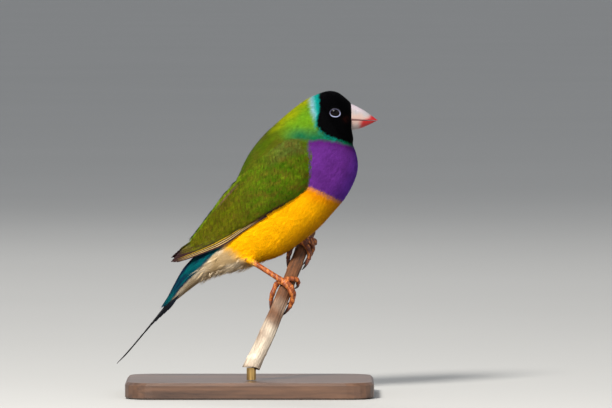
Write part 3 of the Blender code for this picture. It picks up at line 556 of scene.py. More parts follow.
def eye_axes(side):
    """Centre of an eyeball, and its directions forwards, up and outwards."""
    surface = body(EYE_STATION, EYE_ANGLE * side)
    normal = unit(body(EYE_STATION, EYE_ANGLE * side, 1.0) - surface)
    outwards = unit(normal + np.array([EYE_FORWARD, 0, 0]))
    forwards = unit(np.array([1.0, 0, 0]) - outwards * outwards[0])
    up = np.cross(outwards, forwards)
    up = up * np.sign(up[2])
    return surface - outwards * LID_TO_EYE_CENTRE, forwards, up, outwards


def around_eye(turn, scale, radius, side):
    """Points over the eyeball on an oval round the eye's opening, which scale makes larger."""
    middle, forwards, up, outwards = eye_axes(side)
    tilt = math.radians(LID_TILT)
    long = np.cos(turn) * LID_OPENING[0] * scale
    high = np.sin(turn) * LID_OPENING[1] * scale
    u = LID_CENTRE[0] + long * math.cos(tilt) - high * math.sin(tilt)
    v = LID_CENTRE[1] + long * math.sin(tilt) + high * math.cos(tilt)
    w = np.sqrt(np.maximum(radius ** 2 - u ** 2 - v ** 2, 0.2))
    return middle + u[..., None] * forwards + v[..., None] * up + w[..., None] * outwards


def in_eye(points, side, scale):
    """Which points lie inside the oval of the eye's opening, made larger by scale."""
    middle, forwards, up, outwards = eye_axes(side)
    u, v = (points - middle) @ forwards - LID_CENTRE[0], (points - middle) @ up - LID_CENTRE[1]
    tilt = math.radians(LID_TILT)
    long = u * math.cos(tilt) + v * math.sin(tilt)
    high = v * math.cos(tilt) - u * math.sin(tilt)
    near = (points - middle) @ outwards > 0
    return near & ((long / LID_OPENING[0]) ** 2 + (high / LID_OPENING[1]) ** 2 < scale ** 2)


def face(s, angle, lift):
    """The body's surface, swollen over the eyeballs and over the tops of the legs."""
    ground = body(s, angle)
    out = body(s, angle, 1.0) - ground
    lift = np.asarray(lift)[..., None]
    point = ground + out * (lift + leg_swelling(ground, out)[..., None])
    for side in SIDES:
        middle = eye_axes(side)[0]
        away = point - middle
        reach = np.linalg.norm(away, axis=-1, keepdims=True)
        least = LID_SKIN + 0.12 + 0.3 * (lift + 0.3) + 0 * reach
        point = middle + away / np.maximum(reach, 1e-6) * np.maximum(reach, least)
    return point


def in_outline(x, z, outline):
    """Which points of the side view lie inside a closed outline."""
    inside = np.zeros(np.shape(x), bool)
    for (ax, az), (bx, bz) in zip(outline, np.roll(outline, -1, 0)):
        crosses = (az > z) != (bz > z)
        inside ^= crosses & (x < ax + (bx - ax) * (z - az) / (bz - az + 1e-12))
    return inside


def hidden_by_wing(point):
    lower = wing(steps(0.7, 6.0, 12), 0.2, 0.0, 1)[:, [0, 2]]
    upper = wing(steps(5.0, 0.7, 10), 0.78, 0.0, 1)[:, [0, 2]]
    return in_outline(point[..., 0], point[..., 2], np.concatenate([lower, upper]))


def placed(name, data):
    """A new object of the scene."""
    made = bpy.data.objects.new(name, data)
    bpy.context.scene.collection.objects.link(made)
    return made


def build_mesh(name, shape, paint, look, nodes=(), maps=None):
    """A piece from a shape, its points in mm and its arrays of faces, riding on the part."""
    points = np.asarray(shape[0]) * MM
    faces = [np.asarray(block, np.int32) for block in shape[1]]
    corners = np.concatenate([block.ravel() for block in faces])
    sizes = np.concatenate([np.full(len(block), block.shape[1]) for block in faces])
    mesh = bpy.data.meshes.new(name)
    mesh.vertices.add(len(points))
    mesh.vertices.foreach_set("co", points.astype(np.float32).ravel())
    mesh.loops.add(len(corners))
    mesh.loops.foreach_set("vertex_index", corners)
    mesh.polygons.add(len(sizes))
    starts = np.concatenate([[0], np.cumsum(sizes)[:-1]]).astype(np.int32)
    mesh.polygons.foreach_set("loop_start", starts)
    mesh.update(calc_edges=True)
    mesh.polygons.foreach_set("use_smooth", np.ones(len(sizes), bool))
    rgba = np.concatenate([paint, np.ones((len(paint), 1))], 1).astype(np.float32)
    mesh.color_attributes.new(PAINT, "FLOAT_COLOR", "POINT").data.foreach_set("color", rgba.ravel())
    for map_name, places in (maps or {}).items():
        layer = mesh.uv_layers.new(name=map_name)
        layer.data.foreach_set("uv", places[corners].astype(np.float32).ravel())
    mesh.materials.append(look)
    made = placed(name, mesh)
    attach(made, "root")
    if nodes:
        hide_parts(*nodes)


def turned_over(faces):
    return [block[:, ::-1] for block in faces]


def grid_faces(rows, columns, closed=False):
    """Quads of a grid of points; a closed one joins its last column to its first."""
    r, c = grid(np.arange(rows - 1), np.arange(columns if closed else columns - 1))
    n = (c + 1) % columns
    quads = np.stack([r * columns + c, r * columns + n, (r + 1) * columns + n, (r + 1) * columns + c], -1)
    return quads.reshape(-1, 4)


def closed_tube(rings, flip=False):
    """Points and faces of a closed skin over an array of rings, rows by sides by 3."""
    rows, sides = rings.shape[:2]
    points = rings.reshape(-1, 3)
    start, end = len(points), len(points) + 1
    points = np.concatenate([points, [rings[0].mean(0)], [rings[-1].mean(0)]])
    i = np.arange(sides)
    n = (i + 1) % sides
    first = np.stack([n, i, np.full(sides, start)], -1)
    last = np.stack([(rows - 1) * sides + i, (rows - 1) * sides + n, np.full(sides, end)], -1)
    faces = [grid_faces(rows, sides, True), first, last]
    return points, turned_over(faces) if flip else faces


def with_ends(paint):
    """Colours of a closed tube: those of its rings, and of the middles of its two ends."""
    paint = paint.reshape(-1, 3)
    return np.concatenate([paint, paint[[0]], paint[[-1]]])


def plate(top, bottom, flip=False):
    """Points and faces of a closed thin plate between two grids of points."""
    rows, columns = top.shape[:2]
    under = rows * columns
    points = np.concatenate([top.reshape(-1, 3), bottom.reshape(-1, 3)])
    over = grid_faces(rows, columns)
    rim = [r * columns for r in range(rows)]
    rim += [(rows - 1) * columns + c for c in range(1, columns)]
    rim += [r * columns + columns - 1 for r in range(rows - 2, -1, -1)]
    rim += list(range(columns - 2, 0, -1))
    rim = np.array(rim)
    after = np.roll(rim, -1)
    faces = [over, over[:, ::-1] + under, np.stack([rim, after, after + under, rim + under], -1)]
    return points, turned_over(faces) if flip else faces


def joined(shapes):
    """One shape from several."""
    points, faces, count = [], [], 0
    for shape_points, shape_faces in shapes:
        points.append(shape_points)
        faces += [np.asarray(block) + count for block in shape_faces]
        count += len(shape_points)
    return np.concatenate(points), faces


class Nodes:
    """A material's nodes, made in the order that they are used."""

    def __init__(self, name):
        self.material = bpy.data.materials.new(name)
        self.material.use_nodes = True
        self.tree = self.material.node_tree
        self.shader = self.tree.nodes["Principled BSDF"]

    def set(self, node, key, value):
        if isinstance(value, bpy.types.NodeSocket):
            self.tree.links.new(value, node.inputs[key])
        else:
            node.inputs[key].default_value = value

    def add(self, kind, inputs=None, **values):
        node = self.tree.nodes.new(kind)
        for key, value in values.items():
            setattr(node, key, value)
        for key, value in (inputs or {}).items():
            self.set(node, key, value)
        return node

    def paint(self):
        return self.add("ShaderNodeAttribute", attribute_name=PAINT).outputs["Color"]

    def place(self):
        return self.add("ShaderNodeTexCoord").outputs["Object"]

    def mapped(self, place, **values):
        inputs = {"Vector": place, **{key.title(): value for key, value in values.items()}}
        return self.add("ShaderNodeMapping", inputs).outputs[0]

    def math(self, operation, first, second=0.0):
        return self.add("ShaderNodeMath", {0: first, 1: second}, operation=operation).outputs[0]

    def total(self, first, first_share, second, second_share):
        """The sum of two values, each times its share."""
        first = self.math("MULTIPLY", first, first_share)
        second = self.math("MULTIPLY", second, second_share)
        return self.math("ADD", first, second)

    def combined(self, x, y):
        return self.add("ShaderNodeCombineXYZ", {0: x, 1: y, 2: 0.0}).outputs[0]

    def noise(self, place, scale, detail=2.0, roughness=0.5):
        inputs = {"Vector": place, "Scale": scale, "Detail": detail, "Roughness": roughness}
        return self.add("ShaderNodeTexNoise", inputs).outputs["Fac"]

    def between(self, value, low, high, start=0.0, end=1.0):
        """Takes values from start to end on to low to high."""
        inputs = {"Value": value, "From Min": start, "From Max": end, "To Min": low, "To Max": high}
        return self.add("ShaderNodeMapRange", inputs).outputs["Result"]

    def scaled(self, colour, factor):
        made = self.add("ShaderNodeVectorMath", {0: colour}, operation="SCALE")
        self.set(made, "Scale", factor)
        return made.outputs[0]

    def blend(self, share, first, second):
        made = self.add("ShaderNodeMix", {0: share}, data_type="RGBA")
        for index, value in ((6, first), (7, second)):
            self.set(made, index, value if isinstance(value, bpy.types.NodeSocket) else (*value, 1.0))
        return made.outputs[2]

    def bump(self, height, distance, strength=1.0):
        inputs = {"Height": height, "Distance": distance * MM, "Strength": strength}
        return self.add("ShaderNodeBump", inputs).outputs["Normal"]

    def finish(self, colour, roughness, normal=None, specular=0.5, **constants):
        self.set(self.shader, "Base Color", colour)
        self.set(self.shader, "Roughness", roughness)
        if normal is not None:
            self.set(self.shader, "Normal", normal)
        self.set(self.shader, "Specular IOR Level", specular)
        for name, value in constants.items():
            self.set(self.shader, name.replace("_", " ").title(), value)
        return self.material


def feather_material(name, roughness, streak, pitch, specular, tint=None):
    """Plumage: painted colour, streaked along the barbs. The barb map counts millimetres, first
    across the streaks and then along them."""
    nodes = Nodes(name)
    paint = nodes.paint()
    barbs = nodes.add("ShaderNodeUVMap", uv_map=BARB_MAP).outputs["UV"]
    across, along = nodes.add("ShaderNodeSeparateXYZ", {0: barbs}).outputs[:2]
    along = nodes.math("MULTIPLY", along, 0.16)
    place = nodes.combined(across, along)
    fine = nodes.noise(place, 3.2 / pitch, 2.0, 0.6)
    both = nodes.total(nodes.noise(place, 1.0 / pitch, 2.0, 0.6), 0.65, fine, 0.35)
    colour = nodes.scaled(paint, nodes.between(both, 1.0 - streak, 1.0 + streak, 0.3, 0.7))
    if tint is not None:
        other = nodes.combined(across, nodes.math("ADD", along, 40.0))
        browner = nodes.between(nodes.noise(other, 1.1 / pitch, 3.0, 0.65), 0.0, 0.55, 0.5, 0.68)
        colour = nodes.blend(browner, colour, tint)
    matt = nodes.between(fine, roughness - 0.08, min(roughness + 0.12, 1.0))
    return nodes.finish(colour, matt, nodes.bump(both, 0.05, 0.5), specular)


def skin_material():
    nodes = Nodes("skin_under_plumage")
    fluff = nodes.noise(nodes.place(), 1400.0, 4.0, 0.6)
    colour = nodes.scaled(nodes.paint(), nodes.between(fluff, 0.5, 1.1))
    return nodes.finish(colour, 0.85, nodes.bump(fluff, 0.2, 0.6), sheen_weight=0.2)


def painted_material(name, roughness, scale, depth, coat, spread, specular):
    """Painted colour with fine mottling: horn, scales, lids and eyes."""
    nodes = Nodes(name)
    grain = nodes.noise(nodes.place(), scale, 3.0, 0.6)
    colour = nodes.scaled(nodes.paint(), nodes.between(grain, 1 - spread, 1 + spread))
    matt = nodes.between(grain, roughness * 0.8, roughness * 1.2)
    normal = nodes.bump(grain, depth, 0.7)
    return nodes.finish(colour, matt, normal, specular, coat_weight=coat, coat_roughness=0.08)


def bark_material():
    """Thin bark: painted tone with fibres along the branch and fine pale flecks."""
    nodes = Nodes("perch_bark_look")
    place = nodes.place()
    long = nodes.mapped(nodes.mapped(place, rotation=(0.42, -0.36, 0.0)), scale=(1.0, 1.0, 0.14))
    streak = nodes.noise(long, 1500.0, 4.0, 0.7)
    fleck = nodes.noise(place, 2600.0, 2.0, 0.6)
    both = nodes.total(streak, 0.5, nodes.noise(long, 420.0, 3.0, 0.6), 0.5)
    colour = nodes.scaled(nodes.paint(), nodes.between(both, 0.55, 1.35, 0.36, 0.64))
    colour = nodes.scaled(colour, nodes.between(fleck, 0.82, 1.18))
    height = nodes.total(both, 0.8, fleck, 0.3)
    return nodes.finish(colour, nodes.between(streak, 0.95, 0.7), nodes.bump(height, 0.3, 0.9))


def wood_material():
    """Dark stained wood with its grain along the base."""
    nodes = Nodes("stand_wood_look")
    long = nodes.mapped(nodes.place(), scale=(0.08, 1.0, 1.0))
    grain = nodes.noise(long, 700.0, 5.0, 0.62)
    both = nodes.total(grain, 0.5, nodes.noise(long, 120.0, 3.0, 0.6), 0.5)
    ramp = nodes.add("ShaderNodeValToRGB", {0: both})
    for stop, position, tone in zip(ramp.color_ramp.elements, (0.35, 0.68), (WOOD_DARK, WOOD_PALE)):
        stop.position = position
        stop.color = (*tone, 1.0)
    matt = nodes.between(grain, 0.38, 0.55)
    normal = nodes.bump(grain, 0.03, 0.5)
    return nodes.finish(ramp.outputs[0], matt, normal, coat_weight=0.15, coat_roughness=0.3)


def brass_material():
    nodes = Nodes("stand_brass_look")
    brushed = nodes.noise(nodes.mapped(nodes.place(), scale=(1.0, 1.0, 0.1)), 4000.0, 2.0, 0.6)
    colour = nodes.blend(brushed, BRASS_DARK, BRASS_PALE)
    matt = nodes.between(brushed, 0.25, 0.42)
    return nodes.finish(colour, matt, nodes.bump(brushed, 0.01, 0.4), metallic=1.0)


def floor_material():
    nodes = Nodes("floor_look")
    soft = nodes.noise(nodes.place(), 3.0, 2.0, 0.5)
    return nodes.finish(nodes.blend(soft, FLOOR_DARK, FLOOR_PALE), 0.85)


def plumage(point, s, angle):
    """Colour of the body's plumage at points of its surface, from the back round to the mask."""
    x, z = point[..., 0], point[..., 2]
    turn = turned(angle)
    patch = waves(point, 3.4, 11)
    fine = waves(point, 1.1, 12)
    colour = mix(BACK_GREEN, BACK_BROWN, np.clip(0.3 + 0.3 * patch + 0.25 * fine, 0, 1))

    # Nape
    nape = mix(NAPE_TOP, NAPE_SIDE, rise(8.0, 46.0, turn + 6 * patch))
    nape = mix(nape, NAPE_LOW, rise(6.0, 0.6, z - 93.0 + 0.5 * patch) * rise(9.0, 19.0, x))
    above = rise(-0.6, 0.8, z - np.interp(x, *NAPE_LINE) + 0.3 * fine)
    colour = mix(colour, nape, rise(7.9, 6.5, s + 0.3 * patch) * above)

    # Belly
    below = np.interp(x, *BELLY_LINE) + 0.4 * rise(30.0, 24.0, x) - z + 0.12 * fine
    belly = mix(ORANGE, YELLOW, rise(0.3, 6.0, below + 0.8 * patch))
    # Painted shade: the belly's underside is painted a darker gold
    belly = mix(belly, BELLY_SHADE_GOLD, rise(122.0, 170.0, turn) * 0.85)
    belly = shaded(belly, 1 + 0.05 * patch + 0.05 * fine)
    colour = mix(colour, belly, rise(-0.2, 0.2, below))

    # Breast
    collar = np.interp(x, *COLLAR_LINE)
    violet = mix(PURPLE, PURPLE_DEEP, rise(2.6, 0.0, collar - z) * 0.8)
    # Painted highlight: lighter blue violet towards the front of the breast, below
    violet = mix(violet, PURPLE_HIGHLIGHT, rise(120.0, 175.0, turn) * 0.5)
    violet = shaded(violet, 1 + 0.10 * patch + 0.08 * fine)
    inside = rise(20.9, 21.3, x) * rise(-0.2, 0.2, -below) * rise(-0.2, 0.2, collar - z + 0.1 * fine)
    colour = mix(colour, violet, inside)

    # Vent
    # Painted shade under the tail: the vent's fluff is painted darker towards the tail
    fluff = shaded(mix(CREAM, WHITE_FLUFF, rise(-0.2, 0.6, patch)), 1 - 0.35 * rise(13.2, 15.8, s))
    vent = ((x + 9.2) * -5.4 + (z - 53.8) * -7.4) / 9.16
    colour = mix(colour, fluff, rise(-1.4, 1.4, vent + 0.7 * fine))

    # Rump, streaked along the feathers
    along = np.stack([x * 0.67 + z * 0.74, 0 * x, z * 0.67 - x * 0.74], -1)
    lines = waves(along * np.array([0.25, 1, 1.5]), 0.9, 17)
    streaks = rise(44.0, 5.0, turn) * 0.8 + 0.3 * patch + 0.5 * lines + rise(12.5, 15.5, s) * 0.5
    rump = mix(TURQUOISE, TAIL_BLUE, np.clip(streaks, 0, 1))
    above = rise(-0.3, 0.4, z - np.interp(x, *RUMP_LINE) + 0.3 * fine)
    colour = mix(colour, rump, above * rise(11.6, 12.3, s) * rise(-9.0, -10.2, x))

    # Band behind the mask
    behind = (s - np.interp(turn, *MASK_EDGE)) * MM_PER_STATION
    width = np.interp(turn, *BAND_WIDTH)
    band = mix(BAND_SIDE, BAND_TOP, rise(0.35, 0.95, behind / np.maximum(width, 0.1)))
    band = mix(band, BAND_LOW, rise(54.0, 66.0, turn))
    soft = 0.25 + 0.6 * rise(55.0, 30.0, turn)
    colour = mix(colour, band, rise(soft, -soft, behind - width + 0.3 * fine) * (width > 0.05))

    # Mask
    black = mix(BLACK, CROWN_SHEEN, rise(60.0, 0.0, turn) * 0.7)
    lore = np.exp(-((x - 34.9) ** 2 + (z - 100.6) ** 2) / 1.3)
    black = mix(black, LORE, lore * (0.25 + 0.2 * fine))
    return mix(colour, black, rise(0.12, -0.12, behind + 0.12 * fine))


def wing_paint(point, a, b):
    """Colour of the small feathers of a wing."""
    patch = waves(point, 2.0, 21)
    fine = waves(point, 0.9, 22)
    colour = mix(WING_GREEN, WING_BRIGHT, np.clip(0.3 + 0.5 * waves(point, 5.0, 23), 0, 1))
    colour = mix(colour, WING_BROWN, np.clip(0.12 + 0.35 * patch + 0.3 * fine, 0, 0.9))
    colour = mix(colour, WING_OLIVE, rise(2.2, 4.2, a) * 0.7)
    strip = rise(0.91, 0.94, b) * rise(0.985, 0.965, b) * rise(3.1, 3.5, a) * rise(4.6, 4.1, a)
    colour = mix(colour, WING_STRIP, strip * 0.7)
    colour = mix(colour, WING_BRIGHT * 1.3, rise(0.975, 0.99, b) * rise(2.6, 3.2, a) * 0.7)
    edge = rise(0.10, 0.06, b) * rise(1.3, 1.9, a)
    colour = mix(colour, PRIMARY_BROWN, edge * 0.85)
    shoulder = rise(0.68, 0.84, b) * rise(2.3, 1.2, a)
    colour = mix(colour, SHOULDER, shoulder * 0.6)
    # Painted shade towards the lower edge and painted light towards the front of the wing
    return shaded(colour, (0.7 + 0.3 * rise(0.0, 0.45, b)) * (1.0 + 0.08 * rise(2.4, 0.6, a)))


def feather_template(barbs):
    """One feather as rows of (across, along, shade) and its triangles: a vane from the root, split
    over its outer half into tapering barbs. The shade is painted shade, darkest at the root where
    the feathers overlap."""
    # Painted shade: the root and the middle of a feather are painted darker than its tips
    points = [(0.0, 0.0, 0.5)]
    for k in range(barbs + 1):
        across = -1 + 2 * k / barbs
        points.append((across * 0.92, 0.5 - 0.12 * across * across, 0.8))
    for k in range(barbs):
        across = -1 + 2 * (k + 0.5) / barbs
        points.append((across * 1.05, 0.66 + 0.34 * math.sqrt(1 - across * across), 1.0))
    faces = [(0, k + 2, k + 1) for k in range(barbs)]
    faces += [(k + 1, k + 2, barbs + 2 + k) for k in range(barbs)]
    return np.array(points), np.array(faces)


def spans(place, p, q):
    """How many mm a step of p and a step of q is, at places p and q of a surface."""
    e = 0.01
    span_p = np.linalg.norm(place(p + e, q, 0.0) - place(p - e, q, 0.0), axis=-1) / (2 * e)
    span_q = np.linalg.norm(place(p, q + e, 0.0) - place(p, q - e, 0.0), axis=-1) / (2 * e)
    return span_p, span_q


def rows_of_roots(place, p_range, q_range, spacing, chance):
    """Roots in staggered rows, about spacing(p, q) mm apart."""
    found = []
    p = p_range[0]
    odd = 0.0
    q_grid = steps(*q_range, 241)
    while p < p_range[1]:
        at = np.full_like(q_grid, p)
        span_p, span_q = spans(place, at, q_grid)
        gap = spacing(at, q_grid)
        count = np.concatenate([[0], np.cumsum((span_q / gap)[:-1] * np.diff(q_grid))])
        spots = np.arange(odd, count[-1], 1.0)
        q = np.interp(spots + chance.uniform(-0.3, 0.3, len(spots)), count, q_grid)
        advance = gap.mean() / span_p.mean()
        found.append(np.stack([p + chance.uniform(-0.3, 0.3, len(q)) * advance, q], -1))
        p += advance
        odd = 0.5 - odd
    return np.concatenate(found)


def feather_points(place, roots, size, lifts, template, chance, sway, ragged=1.0):
    """Points of all feathers, feathers by template points by 3, with their places p and q, their
    shades and their barb map. Sway is in degrees, and ragged says how uneven the tips are."""
    p, q = roots.T
    span_p, span_q = spans(place, p, q)
    length, width = size
    length = length * chance.uniform(0.8, 1.2, len(p))
    width = width * chance.uniform(0.85, 1.15, len(p))
    turn = np.radians(chance.normal(0.0, sway, len(p)))[:, None]
    tips = (template[:, 2] > 0.9) * ragged
    shape = (len(p), len(template))
    across = (template[:, 0] + chance.normal(0, 0.07, shape) * tips) * width[:, None] / 2
    along = (template[:, 1] + chance.normal(0, 0.07, shape) * tips) * length[:, None]
    ahead = along * np.cos(turn) - across * np.sin(turn)
    aside = along * np.sin(turn) + across * np.cos(turn)
    at_p = p[:, None] + ahead / span_p[:, None]
    at_q = q[:, None] + aside / np.maximum(span_q, 1e-3)[:, None]
    low, high = lifts
    camber = 0.10 * width[:, None] * template[:, 0] ** 2
    lift = low[:, None] + (high - low)[:, None] * template[:, 1] ** 0.7 - camber
    lift = lift + chance.normal(0, 0.035, shape) * tips
    shade = template[:, 2] * (1 + chance.normal(0, 0.08, shape) * tips)
    shade = shade * chance.uniform(0.92, 1.08, (len(p), 1))
    barbs = np.stack([across, along], -1) + chance.uniform(0, 90.0, (len(p), 1, 2))
    return place(at_p, at_q, lift), at_p, at_q, shade, barbs


def coat_piece(name, points, barbs, colours, bake, look, kind, nodes=(), flip=False):
    """A piece of coat from the points of its feathers, a colour for each point, the place of each
    root in the bake map, and the feather template that they are made from."""
    template, faces = kind
    count, size = points.shape[:2]
    triangles = (faces[None] + (np.arange(count) * size)[:, None, None]).reshape(-1, 3)
    if flip:
        triangles = triangles[:, ::-1]
    patch = np.stack([template[:, 0] * 0.5, template[:, 1] - 0.5], -1) * TUFT_PATCH
    bake = bake[:, None] + patch[None]
    maps = {BAKE_MAP: bake.reshape(-1, 2), BARB_MAP: barbs.reshape(-1, 2)}
    build_mesh(name, (points.reshape(-1, 3), [triangles]), colours.reshape(-1, 3), look, nodes, maps)


def bake_places(along, angle):
    """Places in the bake map: along the body and round it."""
    return np.stack([along, angle / 360.0 * 0.98 + 0.01], -1)


def body_bake(roots):
    return bake_places((roots[:, 0] + 0.3) / 18.8, np.mod(roots[:, 1], 360.0))


def coat_levels(s):
    """Length, width, spacing and skin depth of the coat at body stations."""
    return np.moveaxis(curve(COAT, np.clip(s, 0.0, BODY_END)), -1, 0)


def make_skin(looks):
    """One closed skin from the face to the end of the tail coverts."""
    s, w = grid(steps(0.0, BODY_END, SKIN_ROWS), np.arange(SKIN_SIDES) * 360.0 / SKIN_SIDES)
    ground = body(s, w)
    out = body(s, w, 1.0) - ground
    rings = ground + out * (leg_swelling(ground, out) * 0.7 - coat_levels(s)[3])[..., None]
    # The plumage's colours, darkened: painted shade between the feathers
    paint = with_ends(plumage(ground, s, w)) * 0.6
    build_mesh("skin", closed_tube(rings, True), paint, looks["skin"],
               ("head", "neck", "torso", "rump"))


def make_body_coat(looks):
    """Small feathers all over the body, in pieces from the face to the tail."""
    chance = np.random.default_rng(41)
    kind = feather_template(BARBS)

    def spacing(s, w):
        return coat_levels(s)[2] * COAT_CLOSENESS

    roots = rows_of_roots(body, (0.12, 17.3), (0.0, 360.0), spacing, chance)
    length, width, _, depth = coat_levels(roots[:, 0])
    length = np.minimum(length, (BODY_END + 0.3 - roots[:, 0]) * 5.5)
    lifts = (-depth * 0.9, chance.uniform(-0.06, 0.10, len(roots)))
    grown = feather_points(face, roots, (length, width), lifts, kind[0], chance, 8.0)
    points = grown[0]
    keep = ~(hidden_by_wing(points[:, 0]) & hidden_by_wing(points[:, -5]))
    for side in SIDES:
        keep &= ~in_eye(points, side, LID_CLEAR).any(1)
    points, at_s, at_w, shade, barbs, roots = [part[keep] for part in (*grown, roots)]
    colour = shaded(plumage(body(at_s, at_w), at_s, at_w), shade)
    green = colour[..., 1:2] > 0.8 * colour[..., 0:1]
    tone = chance.normal(0.0, 1.0, (len(colour), 1, 1))
    colour = colour * np.exp(tone * np.where(green, 0.15, 0.03))
    bake = body_bake(roots)
    turn = np.mod(roots[:, 1], 360.0)
    for name, low, top, slot in COAT_PIECES:
        look = looks["black" if slot == "black_feathers" else "body"]
        for side_name, first in (("right", 0.0), ("left", 180.0)):
            part = (roots[:, 0] >= low) & (roots[:, 0] < top) & (turn >= first) & (turn < first + 180.0)
            coat_piece(f"coat_{name}_{side_name}", points[part], barbs[part], colour[part], bake[part],
                       look, kind, (), True)


def make_bristles(looks):
    """Short black feathers of the face that reach forwards over the root of the bill."""
    chance = np.random.default_rng(45)
    kind = feather_template(FINE_BARBS)

    def place(p, q, lift):
        sine, cosine = np.sin(np.radians(q)), np.cos(np.radians(q))
        root = body(0.4, q, -0.1)
        rim = np.stack([
            BILL_BASE_X - 0.3 + 0 * q,
            -(BILL_HALF_WIDTH * 0.96 + 0.12) * sine,
            101.0 + (np.where(cosine > 0, 4.6, 4.5) + 0.12) * cosine,
        ], -1)
        out = unit(np.stack([0 * q, -sine, cosine], -1))
        return root + (rim - root) * np.asarray(p)[..., None] + out * np.asarray(lift)[..., None]

    roots = rows_of_roots(place, (0.0, 0.5), (0.0, 360.0), lambda p, q: 0.22 + 0 * q, chance)
    count = len(roots)
    size = (np.full(count, 0.95), np.full(count, 0.4))
    lifts = (np.full(count, -0.05), chance.uniform(0.0, 0.12, count))
    points, _, _, shade, barbs = feather_points(place, roots, size, lifts, kind[0], chance, 12.0)
    colour = shaded(np.ones(points.shape) * BLACK, shade)
    bake = bake_places(0.004 + roots[:, 0] * 0.004, roots[:, 1])
    coat_piece("coat_bill_root", points, barbs, colour, bake, looks["black"], kind)


def make_fluff(looks):
    """Loose long feathers below: cream at the vent, yellow in front of it."""
    chance = np.random.default_rng(46)
    kind = feather_template(FINE_BARBS)
    count = FLUFF_COUNT
    roots = np.stack([chance.uniform(10.0, 14.8, count), chance.normal(180.0, FLUFF_SPREAD, count)], -1)
    near_end = rise(11.0, 12.8, roots[:, 0])
    size = (chance.uniform(2.6, 4.4, count) * (0.8 + 0.4 * near_end), chance.uniform(0.45, 0.9, count))
    loose = chance.uniform(0.0, 1.0, count) ** 2
    lifts = (np.full(count, -0.6), 0.1 + 0.3 * loose + near_end * loose * 1.9)
    points, at_s, at_w, shade, barbs = feather_points(
        face, roots, size, lifts, kind[0], chance, 14.0, 1.6
    )
    pale = mix(CREAM, WHITE_FLUFF, chance.uniform(0, 1, (count, 1))) * 1.15
    under = plumage(body(at_s, at_w), at_s, at_w)
    edge = rise(12.0, 12.8, roots[:, 0]) * chance.uniform(0.3, 1.0, count)
    colour = shaded(mix(under, pale, edge[:, None]), shade)
    coat_piece("coat_fluff", points, barbs, colour, body_bake(roots), looks["body"],
               kind, (), True)


def make_thigh(side, looks):
    """A cuff of small feathers where a leg leaves the plumage."""
    chance = np.random.default_rng(47)
    kind = feather_template(THIGH_BARBS)
    heel, _, down = leg_line(side)
    first = unit(np.cross(down, np.array([0.0, 1.0, 0.0])))
    second = np.cross(down, first)

    def place(p, q, lift):
        reach = np.interp(p, *CUFF) + lift
        return heel + np.asarray(p)[..., None] * down + shaded(on_ring(first, second, np.radians(q)), reach)

    start, end = LEGS[side][3]
    roots = rows_of_roots(place, (start, end), (0.0, 360.0), lambda p, q: 0.4 + 0 * q, chance)
    count = len(roots)
    size = (np.full(count, 1.9), np.full(count, 0.7))
    lifts = (np.full(count, -0.6), chance.uniform(-0.1, 0.2, count))
    points, at_p, _, shade, barbs = feather_points(place, roots, size, lifts, kind[0], chance, 12.0, 1.4)
    colour = mix(YELLOW, CREAM, rise(end - 1.0, end + 2.0, at_p + waves(points, 1.5, 48)) * 0.7)
    bake = bake_places(0.62 + roots[:, 0] * 0.01, roots[:, 1])
    coat_piece("coat_thigh_" + SIDES[side], points, barbs, shaded(colour, shade), bake, looks["body"],
               kind)


def make_wing_coat(side, looks):
    """Small feathers over the front of a wing, and the coverts behind them."""
    chance = np.random.default_rng(51 if side > 0 else 52)
    kind = feather_template(BARBS)

    def place(a, b, lift):
        return wing(a, b, wing_height(a, b) + lift, side)

    def levels(a):
        return np.moveaxis(curve(WING_COAT, np.clip(a, 0.0, len(WING_COAT) - 1.0)), -1, 0)

    def spacing(a, b):
        return levels(a)[2] * WING_COAT_CLOSENESS

    roots = rows_of_roots(place, (-0.25, WING_COAT_END), (-0.02, 1.02), spacing, chance)
    roots = roots[roots[:, 1] > np.interp(roots[:, 0] + 0.4, *WING_COVERED)]
    a, b = roots.T
    length, width, _, depth = levels(a)
    lifts = (-depth, chance.uniform(-0.04, 0.08, len(a)))
    points, at_a, at_b, shade, _ = feather_points(
        place, roots, (length, width), lifts, kind[0], chance, 5.0, 0.8
    )
    colour = shaded(wing_paint(as_right(points, side), at_a, at_b), shade)
    brown = rise(-0.3, 1.6, chance.normal(0.0, 1.0, len(a))) * 0.36
    colour = mix(colour, WING_BROWN * 0.8, brown[:, None])
    colour = colour * np.exp(chance.normal(0.0, 0.2, (len(a), 1, 1)))
    barbs = points[..., [0, 2]] + chance.uniform(-0.25, 0.25, (len(a), 1, 2))
    bake = np.stack([(a + 0.5) / 5.8, b * 0.9 + 0.05], -1)
    coat_piece("wing_coverts_" + SIDES[side], points, barbs, colour, bake, looks["wing"],
               kind, ("wing_" + SIDES[side],), side < 0)


def make_wing_core(side, looks):
    """The closed body of the wing under its coverts."""
    a, b = grid(steps(0.0, 5.2, 27), steps(0.06, 0.98, 15))
    height = wing_height(a, b)
    top = wing(a, b, np.maximum(height - np.minimum(0.6, height * 0.4), 0.25), side)
    shape = plate(top, wing(a, b, 0.0, side), side < 0)
    # Painted darker: painted shade under the coverts
    colour = wing_paint(as_right(top, side), a, b).reshape(-1, 3) * 0.55
    build_mesh("wing_core_" + SIDES[side], shape, np.concatenate([colour, colour]), looks["skin"])


def vane(top, bottom, colour, barbs, flip):
    """A long feather as a thin plate with painted shade on its underside: its shape, its colours and
    its barb map.
    """
    colour = colour.reshape(-1, 3)
    # The underside is painted darker: painted shade
    return plate(top, bottom, flip), np.concatenate([colour, colour * 0.7]), np.concatenate([barbs, barbs])


def vane_piece(name, vanes, look, nodes=()):
    """Long feathers as one piece."""
    shapes, paints, barbs = zip(*vanes)
    maps = {BARB_MAP: np.concatenate(barbs)}
    build_mesh(name, joined(shapes), np.concatenate(paints), look, nodes, maps)


